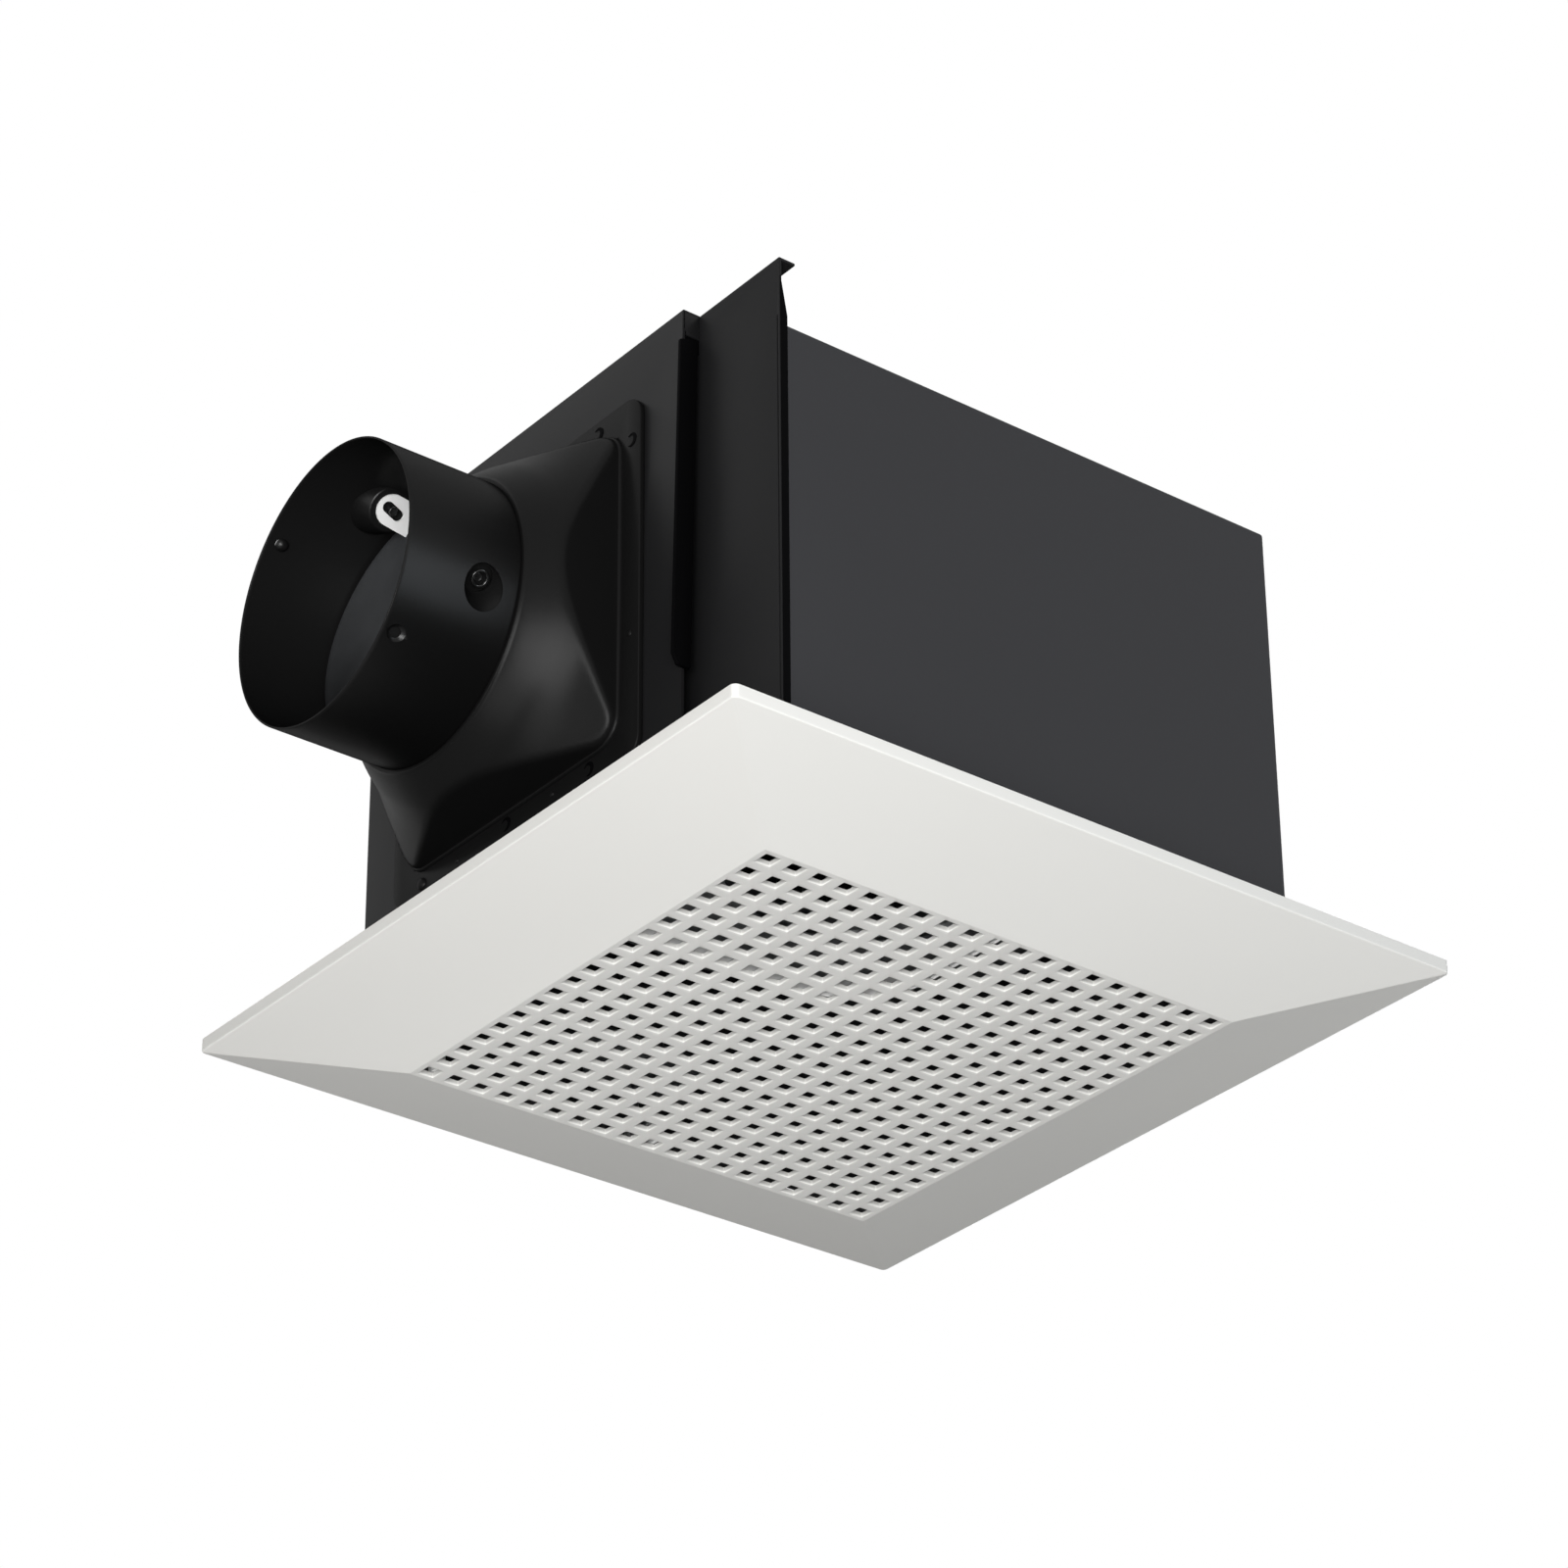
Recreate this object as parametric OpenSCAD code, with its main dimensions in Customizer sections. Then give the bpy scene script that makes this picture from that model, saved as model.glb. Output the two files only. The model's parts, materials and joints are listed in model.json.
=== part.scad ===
// Ceiling exhaust fan with a side duct spigot, a sirocco wheel and a spring held grille.
// Z = 0 is the ceiling plane. The room is below it, the housing above it.
// The duct leaves towards -X. Millimetres.

/* [Grille] */
// How far the rim of the square grille reaches past the housing
grille_overhang = 35; // [30:0.5:45]
// Height of the upright rim edge of the grille
rim_height = 4.3; // [3:0.1:6]
// Drop from the ceiling plane to the face of the lattice
grille_depth = 17; // [15:0.5:22]
// Wall thickness of the grille
grille_wall = 2.2; // [1.6:0.1:2.8]
// Number of lattice holes along one side
hole_count = 19; // [11:2:19]
// Distance between two lattice holes
hole_pitch = 10; // [9:0.1:10.2]
// Side of one lattice hole
hole_side = 5.6; // [4:0.1:6.4]
// Thickness of the stiffening ribs behind the lattice
rib_wall = 1.2; // [0.8:0.1:2]
// Height of the stiffening ribs behind the lattice
rib_height = 6; // [3:0.5:7]

/* [Housing] */
// Length of the housing from the duct wall to the far wall
box_length = 208; // [204:1:220]
// Width of the housing
box_width = 216; // [212:1:226]
// Height of the housing above the ceiling
box_height = 168; // [164:1:185]
// How far the housing sits off the middle of the grille, away from the duct
box_shift = 6; // [2:1:8]
// Thickness of the steel sheet
sheet = 1; // [0.8:0.1:1.2]
// Width of the ceiling flange
flange_width = 22; // [18:1:24]
// Height of the duct wall above the housing top
wing_height = 25; // [15:1:35]
// Width of the lip folded along the top of the duct wall
wing_lip = 5.5; // [4:0.5:8]
// Width of the narrow return where the duct wall laps the side walls
lap_width = 1.6; // [1.2:0.1:3]
// Radius of the ceiling screw slots
slot_r = 2.75; // [2.25:0.25:3.25]
// Length of the ceiling screw slots from end to end
slot_length = 12; // [8:1:16]
// Distance between the ceiling screws along the duct direction
slot_spacing = 160; // [120:1:180]

/* [Duct adapter] */
// Duct centre sideways from the middle of the grille
duct_y = 22; // [20:1:26]
// Duct centre above the ceiling
duct_z = 103; // [100:1:104]
// Half width of the steel plate that carries the adapter
plate_half = 88; // [82:1:90]
// Space between the duct wall and that plate
plate_gap = 6; // [4:0.5:8]
// Half side of the square air opening
opening_half = 54; // [48:1:55]
// Half side of the square foot of the flare
base_half = 58; // [57:0.5:60]
// Corner radius of that foot
base_corner = 10; // [6:1:14]
// Width of the screw flange round the foot
adapter_margin = 10; // [8:0.5:12]
// Thickness of the screw flange
adapter_flange = 2; // [1.5:0.1:2.5]
// Depth of the flare from square to round
flare_depth = 34.5; // [30:0.5:40]
// Outer radius of the round duct spigot
spigot_r = 49.5; // [47:0.5:50.5]
// Wall thickness of the spigot
spigot_wall = 2; // [1.6:0.1:2.4]
// Length of the spigot in front of the flare
spigot_length = 43; // [40:1:60]
// How far the flare stands proud of the spigot where they meet
ring_step = 2; // [1:0.5:3]

/* [Damper] */
// Distance of the damper hinge from the duct axis
hinge_offset = 25; // [20:1:27]
// Tilt of the damper hinge against the horizontal, in degrees
hinge_tilt = 45; // [30:1:60]
// Distance of the damper hinge behind the duct mouth
hinge_inset = 30; // [29:0.5:31]
// Radius of the two hinge bosses in the spigot
boss_r = 8; // [7:0.5:8]
// Half distance between the inner faces of the two hinge bosses
boss_half = 35.8; // [34:0.2:36]
// Radius of the hinge pins
pin_r = 1.5; // [1.2:0.1:1.8]
// Radial clearance of the flap on its pins
pin_clearance = 0.05; // [0.03:0.01:0.08]
// Thickness of the flap
flap_wall = 0.8; // [0.6:0.1:1]
// Gap between the flap and the wall of the spigot
flap_gap = 1.7; // [1.4:0.1:2.5]
// Angle that the flap hangs open at rest
flap_rest = 7; // [2:1:10]
// Radius of the round end of the flap's ears
ear_r = 5.5; // [4.5:0.5:5.5]

/* [Fan wheel] */
// Outer radius of the wheel
wheel_r = 64; // [60:1:65]
// Radial depth of the blades
blade_depth = 10; // [8:0.5:11]
// Thickness of a blade
blade_wall = 1; // [0.8:0.1:1.4]
// Number of blades
blade_count = 40; // [24:1:48]
// Gap between the top of the wheel and the roof of the scroll
wheel_head = 10.8; // [8.8:0.2:20.8]
// Outer radius of the cup that reaches over the motor
cup_r = 47.5; // [46.5:0.5:50]
// Thickness of the wheel's discs and rings
wheel_wall = 1.5; // [1.2:0.1:2]
// Radius of the motor shaft
shaft_r = 4; // [3:0.5:5]
// Radius of the wheel hub
hub_r = 10; // [8:0.5:12]

/* [Scroll] */
// Gap between the wheel and the scroll at its tongue
scroll_gap = 6; // [5:0.5:7]
// Gap between the scroll and the far wall of the housing
scroll_far_gap = 8.4; // [6.4:0.2:12.4]
// Gap between the scroll and the near side wall of the housing
scroll_side_gap = 11; // [9:0.5:13]
// Growth of the scroll radius from the tongue to the outlet
scroll_rise = 22; // [18:1:24]
// Height of the inlet plate above the ceiling
scroll_floor = 48; // [44:1:50]
// Thickness of the scroll's sheet
scroll_wall = 1.2; // [1:0.1:1.5]
// Space between the scroll top and the housing top
head_room = 15.8; // [15:0.2:20]
// Radius of the air inlet
inlet_r = 52; // [48:0.5:53]
// Height of the inlet's rolled collar
inlet_rise = 8; // [6:0.5:9]

/* [Motor] */
// Outer radius of the motor
motor_r = 41; // [38:0.5:42]
// Height of the motor
motor_height = 60; // [56:1:62]
// Wall thickness of the motor shells
motor_wall = 1.5; // [1.2:0.1:2]
// Outer radius of the ball bearings
bearing_r = 9; // [8:0.5:11]
// Height of the ball bearings
bearing_height = 7; // [5:0.5:8]
// Running clearance of the shaft in its bearings
shaft_clearance = 0.03; // [0.02:0.01:0.06]
// Outer radius of the rotor
rotor_r = 21.5; // [18:0.5:23]
// Air gap between rotor and stator
air_gap = 0.5; // [0.4:0.1:0.8]
// Height of the stator core
stator_height = 26; // [20:1:28]
// Height of the rubber bushes under the motor bracket
bush_height = 4; // [3:0.5:5]
// Radius of the circle of motor bushes
bush_circle = 58; // [57:0.5:60]

/* [Electrics] */
// Size of the terminal box along the duct direction
terminal_length = 36; // [32:1:40]
// Size of the terminal box sideways
terminal_width = 30; // [27:1:33]
// Height of the terminal box
terminal_height = 60; // [54:1:70]
// Bottom of the terminal box above the ceiling
terminal_floor = 70; // [60:1:76]
// Radius of the cable bore in its grommet
cable_r = 5; // [4:0.5:6]
// Length of the capacitor
capacitor_length = 34; // [28:1:38]
// Thickness of the capacitor
capacitor_width = 16; // [13:1:18]
// Height of the capacitor
capacitor_height = 28; // [24:1:36]

/* [Grille springs] */
// Radius of the spring wire
wire_r = 0.9; // [0.7:0.1:1]
// Mean radius of the spring coil
coil_r = 4; // [3.5:0.1:4.5]
// Travel of the grille when it is pulled down for cleaning
grille_travel = 50; // [30:1:50]
// Splay of each spring leg from upright, in degrees
leg_splay = 8; // [5:1:10]
// Height of the spring bracket's tab above the ceiling
tab_height = 18; // [14:1:22]

/* [Hidden] */
$fn = 64;
// Overshoot that lets a cut pass clean through
cut = 1;

// Housing faces, outer faces unless the name says inner
wall_near = box_shift - box_length / 2;
wall_far = box_shift + box_length / 2;
near_inner = wall_near + sheet;
far_inner = wall_far - sheet;
side = box_width / 2;
side_inner = side - sheet;
top_inner = box_height - sheet;
wing_top = box_height + wing_height;
cable_hole_r = cable_r + 3;
cable_z = terminal_floor + terminal_height / 2;

// Adapter plate and adapter, along X
plate_x = wall_near - plate_gap;
plate_face = plate_x - sheet;
plate_bottom = 2;
sleeve_wall = 1;
sleeve_clearance = 0.3;
spacer_r = 4;
plate_screw_z = 14;
strip_wall = 1.5;
strip_low = 54;
strip_bevel = 2.8;
strip_drop = 9;
strip_foot_out = 4.2;
strip_head_out = 1.2;
strip_foot_gap = 4.5;
strip_head_gap = 2.2;
plate_screw_y = plate_half - 14;
ring_r = spigot_r + ring_step;
mouth = flare_depth + spigot_length;
spigot_inner = spigot_r - spigot_wall;
foot_r = base_half * 1.4656;
flare_power = 1.7;
flare_steps = 10;
flare_wall = 2.6;
seat_width = 3.5;
seat_wall = 1.5;
gasket_wall = 1.4;
screw_row = base_half + adapter_margin / 2;
screw_places = [-46, 0, 46];
dimple_angle = 46;
dimple_inset = 5.5;

// Damper hinge, in a frame whose Z runs along the pins and whose Y points into the flap
hinge_x = plate_face - mouth + hinge_inset;
flap_back = hinge_x + (mouth - hinge_inset - flare_depth) - seat_wall - gasket_wall;
flap_clearance = 0.3;
flap_offset = flap_back - flap_clearance - flap_wall - hinge_x;
flap_r = spigot_inner - flap_gap;
ear_wall = 0.8;
ear_place = boss_half - 0.3 - ear_wall;
recess_floor = boss_half + 2.2;
recess_r = 5;
recess_slope = 0.4;
pin_head_r = 3.2;
pin_head = 1.4;

// Fan wheel and motor, upwards
scroll_top = top_inner - head_room;
bracket_z = scroll_top + bush_height;
bracket_wall = 1.5;
motor_top = bracket_z;
motor_bottom = motor_top - motor_height;
motor_split = (motor_top + motor_bottom) / 2;
motor_lip = 3;
wheel_bottom = scroll_floor + scroll_wall + inlet_rise + 3;
blades_z = wheel_bottom + wheel_wall;
blades_top = scroll_top - scroll_wall - wheel_head - wheel_wall;
blade_height = blades_top - blades_z;
cup_floor = motor_bottom - 11;
hub_bottom = cup_floor - 12;
hub_top = cup_floor + 6;
nut_height = 5;
shaft_end = hub_bottom - nut_height - 2;
shaft_top = motor_top - motor_wall - 0.5;
stator_z = motor_split - stator_height / 2;
stator_r = motor_r - motor_wall - 0.2;
bearing_boss = 2;
bush_r = 5;
bolt_r = 2;
nut_r = 4;
bracket_hole_r = bush_circle - 6;

// Scroll outline, as angles in degrees about the wheel
tongue_angle = 150;
scroll_sweep = 300;
scroll_step = 7.5;
tongue_r = wheel_r + scroll_gap;
wheel_x = far_inner - scroll_far_gap - scroll_wall - scroll_radius(360);
wheel_y = -side_inner + scroll_side_gap + scroll_wall + scroll_radius(270);
outlet_far = wheel_y + tongue_r + scroll_rise;
outlet_near = duct_y - 32;
post_circle = 69;
post_r = 3;

// Grille
lattice_half = hole_count * hole_pitch / 2;
rim_half = max(side, wall_far) + grille_overhang;
inner_rim = rim_half - grille_wall;
lattice_back = -grille_depth + grille_wall;
short_rib_places = [2.3, -87];
short_rib_length = 8;

// Springs
spring_inset = 4.4;
coil_pitch = 1.9;
coil_turns = 2.5;
coil_half = coil_turns * coil_pitch / 2;
coil_gap = 1.1;
spring_x = box_shift;
spring_y = side_inner - spring_inset;
under_coil = spring_y - coil_half - wire_r < lattice_half ? lattice_back + rib_height
    : border_floor(spring_y + coil_half + wire_r);
coil_z = under_coil + coil_r + wire_r + coil_gap;
bracket_end = 6;
bracket_foot = 10;
bracket_head = 14;
leg_top = tab_height + sheet + grille_travel + 10;
hook_length = 4;
wire_sides = 6;
slot_half = coil_r + (tab_height + grille_travel - coil_z) * tan(leg_splay) + wire_r + 1.5;
post_pin_r = coil_r - wire_r - 0.4;

// Electrics
terminal_x = far_inner - terminal_length;
terminal_y = side_inner - terminal_width;
terminal_wall = 1;
lead_r = 1.8;
lead_z = scroll_top + lead_r + 0.4;
lead_x = terminal_x + 10;
lead_y = terminal_y + 11;
lead_angle = atan2(lead_y - wheel_y, lead_x - wheel_x);
capacitor_x = near_inner + 8;
capacitor_z = 84;
strap_wall = 0.8;

// A block given by its lowest and its highest corner
module block(low, high) {
    translate(low) cube(high - low);
}

// Extrudes a flat shape, drawn as Y and Z, from one X to another
module along_x(from, to) {
    translate([from, 0, 0]) rotate([90, 0, 90]) linear_extrude(to - from) children();
}

// Turns a shape about Z into one about the duct axis, its foot on the adapter plate
module duct_frame() {
    translate([plate_face, duct_y, duct_z]) rotate([0, -90, 0]) children();
}

// Puts a shape into the frame of the damper hinge
module hinge_frame() {
    translate([hinge_x, duct_y, duct_z]) rotate([-hinge_tilt, 0, 0])
        translate([0, -hinge_offset, 0]) children();
}

// Puts a shape on the axis of the fan wheel
module wheel_frame() {
    translate([wheel_x, wheel_y, 0]) children();
}

// A square with round corners, about its middle
module rounded_square(half, corner) {
    square([2 * half, 2 * (half - corner)], center = true);
    square([2 * (half - corner), 2 * half], center = true);
    for (a = [-1, 1], b = [-1, 1])
        translate([a * (half - corner), b * (half - corner)]) circle(corner);
}

// A tube along Z
module tube(outer, inner, low, high) {
    difference() {
        translate([0, 0, low]) cylinder(r = outer, h = high - low);
        translate([0, 0, low - cut]) cylinder(r = inner, h = high - low + 2 * cut);
    }
}

// A pan head screw along Z, its head above z = 0 and its shank below
module pan_screw(head_r, head, shank_r, shank) {
    difference() {
        cylinder(r = head_r, h = head);
        for (a = [0, 90]) rotate([0, 0, a])
            translate([0, 0, head]) cube([head_r * 1.2, head_r * 0.3, head], center = true);
    }
    translate([0, 0, -shank]) cylinder(r = shank_r, h = shank);
}

module slot_cut(x, y) {
    run = slot_length / 2 - slot_r;
    translate([x, y, -sheet - cut]) {
        for (a = [-1, 1]) translate([a * run, 0, 0]) cylinder(r = slot_r, h = sheet + 2 * cut);
        translate([-run, -slot_r, 0]) cube([2 * run, 2 * slot_r, sheet + 2 * cut]);
    }
}

module housing_top() {
    color("#3f3f41") block([near_inner, -side, top_inner], [wall_far, side, box_height]);
}

module housing_near_side() {
    color("#3f3f41") block([near_inner, -side, -sheet], [wall_far, -side_inner, top_inner]);
}

module housing_far_side() {
    color("#3f3f41") block([near_inner, side_inner, -sheet], [wall_far, side, top_inner]);
}

module housing_back() {
    color("#3f3f41") difference() {
        block([far_inner, -side_inner, -sheet], [wall_far, side_inner, top_inner]);
        translate([far_inner - cut, (terminal_y + side_inner) / 2, cable_z])
            rotate([0, 90, 0]) cylinder(r = cable_hole_r, h = sheet + 2 * cut);
    }
}

// Four strips round the mouth of the housing, with a seam at each corner
module ceiling_flange() {
    seam = 0.05;
    strip_y = side - seam;
    color("#3f3f41") {
        for (turn = [0, 1]) mirror([0, turn, 0]) difference() {
            block([wall_near - flange_width, side, -sheet],
                [wall_far + flange_width, side + flange_width, 0]);
            for (a = [-1, 1]) slot_cut(a * slot_spacing / 2, side + flange_width / 2);
        }
        block([wall_near - flange_width, -strip_y, -sheet], [wall_near, strip_y, 0]);
        block([wall_far, -strip_y, -sheet], [wall_far + flange_width, strip_y, 0]);
    }
}

module duct_wall() {
    taper = wing_height - 7;
    hole_half = opening_half + sleeve_wall + sleeve_clearance;
    color("#333334") difference() {
        union() {
            block([wall_near, -side, -sheet], [near_inner, side, wing_top]);
            block([near_inner, -side, wing_top - sheet], [near_inner + wing_lip, side, wing_top]);
            for (a = [-1, 1]) translate([0, a > 0 ? side + sheet : -side, 0]) rotate([90, 0, 0])
                linear_extrude(sheet) polygon([[wall_near, 0], [wall_near + lap_width, 0],
                    [wall_near + lap_width, box_height], [wall_near, box_height + taper]]);
        }
        block([wall_near - cut, duct_y - hole_half, duct_z - hole_half],
            [near_inner + cut, duct_y + hole_half, duct_z + hole_half]);
        plate_screw_bores(1.2);
    }
}

module plate_screw_bores(r) {
    for (a = [-1, 1]) translate([plate_face - cut, duct_y + a * plate_screw_y, plate_screw_z])
        rotate([0, 90, 0]) cylinder(r = r, h = plate_gap + 2 * sheet + 2 * cut);
}

module adapter_plate() {
    near = duct_y - plate_half;
    far = duct_y + plate_half;
    color("#313132") difference() {
        union() {
            block([plate_face, near, plate_bottom], [plate_x, far, wing_top]);
            block([plate_x, near, wing_top - sheet], [wall_near, far, wing_top]);
            block([plate_x, near, plate_bottom], [wall_near, far, plate_bottom + sheet]);
            block([plate_x, far - sheet, plate_bottom], [wall_near, far, wing_top]);
            for (a = [-1, 1]) translate([plate_x, duct_y + a * plate_screw_y, plate_screw_z])
                rotate([0, 90, 0]) cylinder(r = spacer_r, h = plate_gap);
        }
        block([plate_face - cut, duct_y - opening_half, duct_z - opening_half],
            [plate_x + cut, duct_y + opening_half, duct_z + opening_half]);
        plate_screw_bores(1.6);
        adapter_screw_bores(1.1);
    }
}

// Square tube from the adapter plate through the duct wall
module adapter_sleeve() {
    outer = opening_half + sleeve_wall;
    color("#313132") difference() {
        block([plate_x, duct_y - outer, duct_z - outer],
            [near_inner, duct_y + outer, duct_z + outer]);
        block([plate_x - cut, duct_y - opening_half, duct_z - opening_half],
            [near_inner + cut, duct_y + opening_half, duct_z + opening_half]);
    }
}

// The dark strip along the near edge of the adapter plate, which leans out at its foot
module wedge_strip() {
    near = duct_y - plate_half;
    head = wing_top - strip_drop;
    color("#0a0a0b") translate([0, near, 0]) rotate([90, 0, 0]) linear_extrude(strip_wall) polygon([
        [wall_near - strip_foot_gap, strip_low],
        [plate_face - strip_foot_out + strip_bevel, strip_low],
        [plate_face - strip_foot_out, strip_low + strip_bevel],
        [plate_face - strip_head_out, head], [wall_near - strip_head_gap, head]]);
}

// Outer radius of the flare at a distance from the plate
function flare_radius(a) =
    ring_r + (foot_r - ring_r) * pow(1 - a / flare_depth, flare_power);

// A trumpet about the duct axis: a turned flare that is shrunk by a wall
module trumpet(wall, low) {
    rotate_extrude($fn = 96) polygon(concat(
        [[0, low], [flare_radius(0) - wall, low]],
        [for (i = [0:flare_steps]) let (a = flare_depth * i / flare_steps)
            [flare_radius(a) - wall, a]],
        [[0, flare_depth]]));
}

module adapter_screw_bores(r) {
    for (turn = [0:90:270], place = screw_places)
        duct_frame() rotate([0, 0, turn]) translate([screw_row, place, -sheet - cut])
            cylinder(r = r, h = sheet + adapter_flange + 2 * cut, $fn = 24);
}

module dimple(angle, r) {
    rotate([0, 0, angle]) translate([r, 0, mouth - dimple_inset]) sphere(r = 3.5, $fn = 32);
}

// One hinge boss with its recess, left as a solid and a cut
module boss_solid(end) {
    mirror([0, 0, end]) translate([0, 0, boss_half]) cylinder(r = boss_r, h = 14);
}

module boss_recess(end) {
    run = 14;
    mirror([0, 0, end]) {
        translate([0, 0, recess_floor])
            cylinder(r1 = recess_r, r2 = recess_r + run * recess_slope, h = run);
        translate([0, 0, boss_half - cut]) cylinder(r = pin_r, h = recess_floor);
    }
}

// Screw flange, square foot and concave flare
module duct_flare() {
    color("#1d1d1f") difference() {
        union() {
            intersection() {
                duct_frame() trumpet(0, 0);
                duct_frame() linear_extrude(flare_depth) rounded_square(base_half, base_corner);
            }
            duct_frame() linear_extrude(adapter_flange)
                rounded_square(base_half + adapter_margin, base_corner);
        }
        intersection() {
            duct_frame() trumpet(flare_wall, -cut);
            duct_frame() translate([0, 0, -cut]) linear_extrude(flare_depth + cut)
                rounded_square(base_half - 2, base_corner - 2);
        }
        duct_frame() translate([0, 0, flare_depth - cut])
            cylinder(r = ring_r - flare_wall, h = 2 * cut, $fn = 96);
        adapter_screw_bores(1.3);
    }
}

// Round spigot with the damper's seat and hinge bosses and two pressed dimples
module duct_spigot() {
    color("#1d1d1f") difference() {
        union() {
            difference() {
                duct_frame() translate([0, 0, flare_depth])
                    cylinder(r = spigot_r, h = spigot_length, $fn = 128);
                duct_frame() translate([0, 0, flare_depth + seat_wall])
                    cylinder(r = spigot_inner, h = spigot_length, $fn = 128);
                duct_frame() translate([0, 0, flare_depth - cut])
                    cylinder(r = spigot_inner - seat_width, h = spigot_length);
            }
            intersection() {
                union() {
                    for (end = [0, 1]) hinge_frame() boss_solid(end);
                    for (turn = [0, 180]) duct_frame() dimple(turn + dimple_angle, spigot_r - 0.5);
                }
                duct_frame() cylinder(r = spigot_r - spigot_wall / 4, h = mouth);
            }
        }
        for (end = [0, 1]) hinge_frame() boss_recess(end);
        for (turn = [0, 180]) duct_frame() dimple(turn + dimple_angle, spigot_r + 1.8);
    }
}

// Foam ring on the damper's seat, left out where the hinge side of the flap swings inwards
module damper_gasket() {
    color("#161616") difference() {
        duct_frame() tube(spigot_inner - 0.2, spigot_inner - seat_width + 0.5,
            flare_depth + seat_wall, flare_depth + seat_wall + gasket_wall);
        hinge_frame() block([0, -spigot_r, -spigot_r], [mouth, 0.5, spigot_r]);
    }
}

module damper_pins() {
    color("silver") hinge_frame() for (end = [0, 1]) mirror([0, 0, end]) {
        translate([0, 0, ear_place - 1.3]) cylinder(r = pin_r, h = recess_floor - ear_place + 1.3);
        translate([0, 0, recess_floor]) cylinder(r = pin_head_r, h = pin_head);
    }
}

// Drawn shut and then turned to the angle at which it hangs
module damper_flap() {
    color("#8b8d90") hinge_frame() rotate([0, 0, flap_rest]) {
        along_x(flap_offset, flap_offset + flap_wall) intersection() {
            translate([hinge_offset, 0]) circle(r = flap_r, $fn = 96);
            translate([-ear_r, -flap_r]) square(2 * flap_r);
        }
        for (end = [0, 1]) mirror([0, 0, end]) translate([0, 0, ear_place])
            linear_extrude(ear_wall) difference() {
                union() {
                    circle(r = ear_r, $fn = 48);
                    translate([0, -ear_r]) square([flap_offset + flap_wall, 2 * ear_r]);
                }
                circle(r = pin_r + pin_clearance, $fn = 48);
            }
    }
}

module adapter_screws() {
    color("#26262a") for (turn = [0:90:270], place = screw_places)
        duct_frame() rotate([0, 0, turn]) translate([screw_row, place, adapter_flange])
            pan_screw(2.3, 1.3, 1.1, adapter_flange + sheet + 2);
}

module plate_screws() {
    color("silver") for (a = [-1, 1])
        translate([plate_face, duct_y + a * plate_screw_y, plate_screw_z]) rotate([0, -90, 0])
            pan_screw(3, 1.8, 1.2, plate_gap + 2 * sheet + 2);
}

function scroll_radius(angle) =
    tongue_r + scroll_rise * (angle - tongue_angle) / scroll_sweep;

// The outline of the scroll and its outlet, moved outwards by a wall, its mouth by a reach
function scroll_points(wall, reach = 0) = let (first = tongue_angle + wall * 3.4) concat(
    [[near_inner - reach, outlet_near - wall * 1.25], [near_inner - reach, outlet_far + wall]],
    [for (angle = [tongue_angle + scroll_sweep:-scroll_step:first + 1])
        [wheel_x, wheel_y] + (scroll_radius(angle) + wall) * [cos(angle), sin(angle)]],
    [[wheel_x, wheel_y] + (scroll_radius(first) + wall) * [cos(first), sin(first)]]);

module scroll_casing() {
    foot = scroll_floor + scroll_wall;
    roof = scroll_top - scroll_wall;
    rim = 3;
    color("silver") difference() {
        union() {
            translate([0, 0, foot]) linear_extrude(roof - foot) polygon(scroll_points(scroll_wall));
            block([near_inner, duct_y - opening_half - rim, foot],
                [near_inner + scroll_wall, duct_y + opening_half + rim, roof]);
        }
        translate([0, 0, foot - cut]) linear_extrude(roof - foot + 2 * cut)
            polygon(scroll_points(0, cut));
    }
}

module scroll_roof() {
    roof = scroll_top - scroll_wall;
    color("silver") difference() {
        translate([0, 0, roof]) linear_extrude(scroll_wall) polygon(scroll_points(scroll_wall));
        wheel_frame() translate([0, 0, roof - cut])
            cylinder(r = bracket_hole_r, h = scroll_wall + 2 * cut);
        bush_places() translate([0, 0, roof - cut]) cylinder(r = bolt_r, h = scroll_wall + 2 * cut);
    }
}

module bush_places() {
    for (angle = [-30, 90, 210])
        wheel_frame() rotate([0, 0, angle]) translate([bush_circle, 0, 0]) children();
}

// Screws of the inlet plate, on tabs outside the scroll wall
module inlet_places() {
    for (angle = [200, 290, 380])
        wheel_frame() rotate([0, 0, angle])
            translate([scroll_radius(angle) + scroll_wall + 3.4, 0, 0]) children();
}

module inlet_plate() {
    lip = 6;
    color("#d9d8d2") difference() {
        union() {
            translate([0, 0, scroll_floor]) linear_extrude(scroll_wall)
                polygon(scroll_points(scroll_wall));
            inlet_places() translate([0, 0, scroll_floor]) cylinder(r = 3.6, h = scroll_wall);
            wheel_frame() rotate_extrude($fn = 96) polygon(concat(
                [[inlet_r + lip, scroll_floor]],
                [for (a = [90:-15:0]) [inlet_r + lip - lip * cos(a),
                    scroll_floor + inlet_rise - inlet_rise * sin(a)]],
                [[inlet_r, scroll_floor + scroll_wall + inlet_rise],
                    [inlet_r + scroll_wall, scroll_floor + scroll_wall + inlet_rise]],
                [for (a = [0:15:90]) [inlet_r + lip + scroll_wall - lip * cos(a),
                    scroll_floor + scroll_wall + inlet_rise - inlet_rise * sin(a)]]));
        }
        wheel_frame() translate([0, 0, scroll_floor - cut])
            cylinder(r = inlet_r, h = inlet_rise + scroll_wall + 2 * cut, $fn = 96);
        inlet_places() translate([0, 0, scroll_floor - cut])
            cylinder(r = 1.4, h = scroll_wall + 2 * cut, $fn = 24);
    }
}

module inlet_screws() {
    color("silver") inlet_places() translate([0, 0, scroll_floor]) rotate([180, 0, 0])
        pan_screw(2.6, 1.6, 1.2, 6);
}

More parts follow.
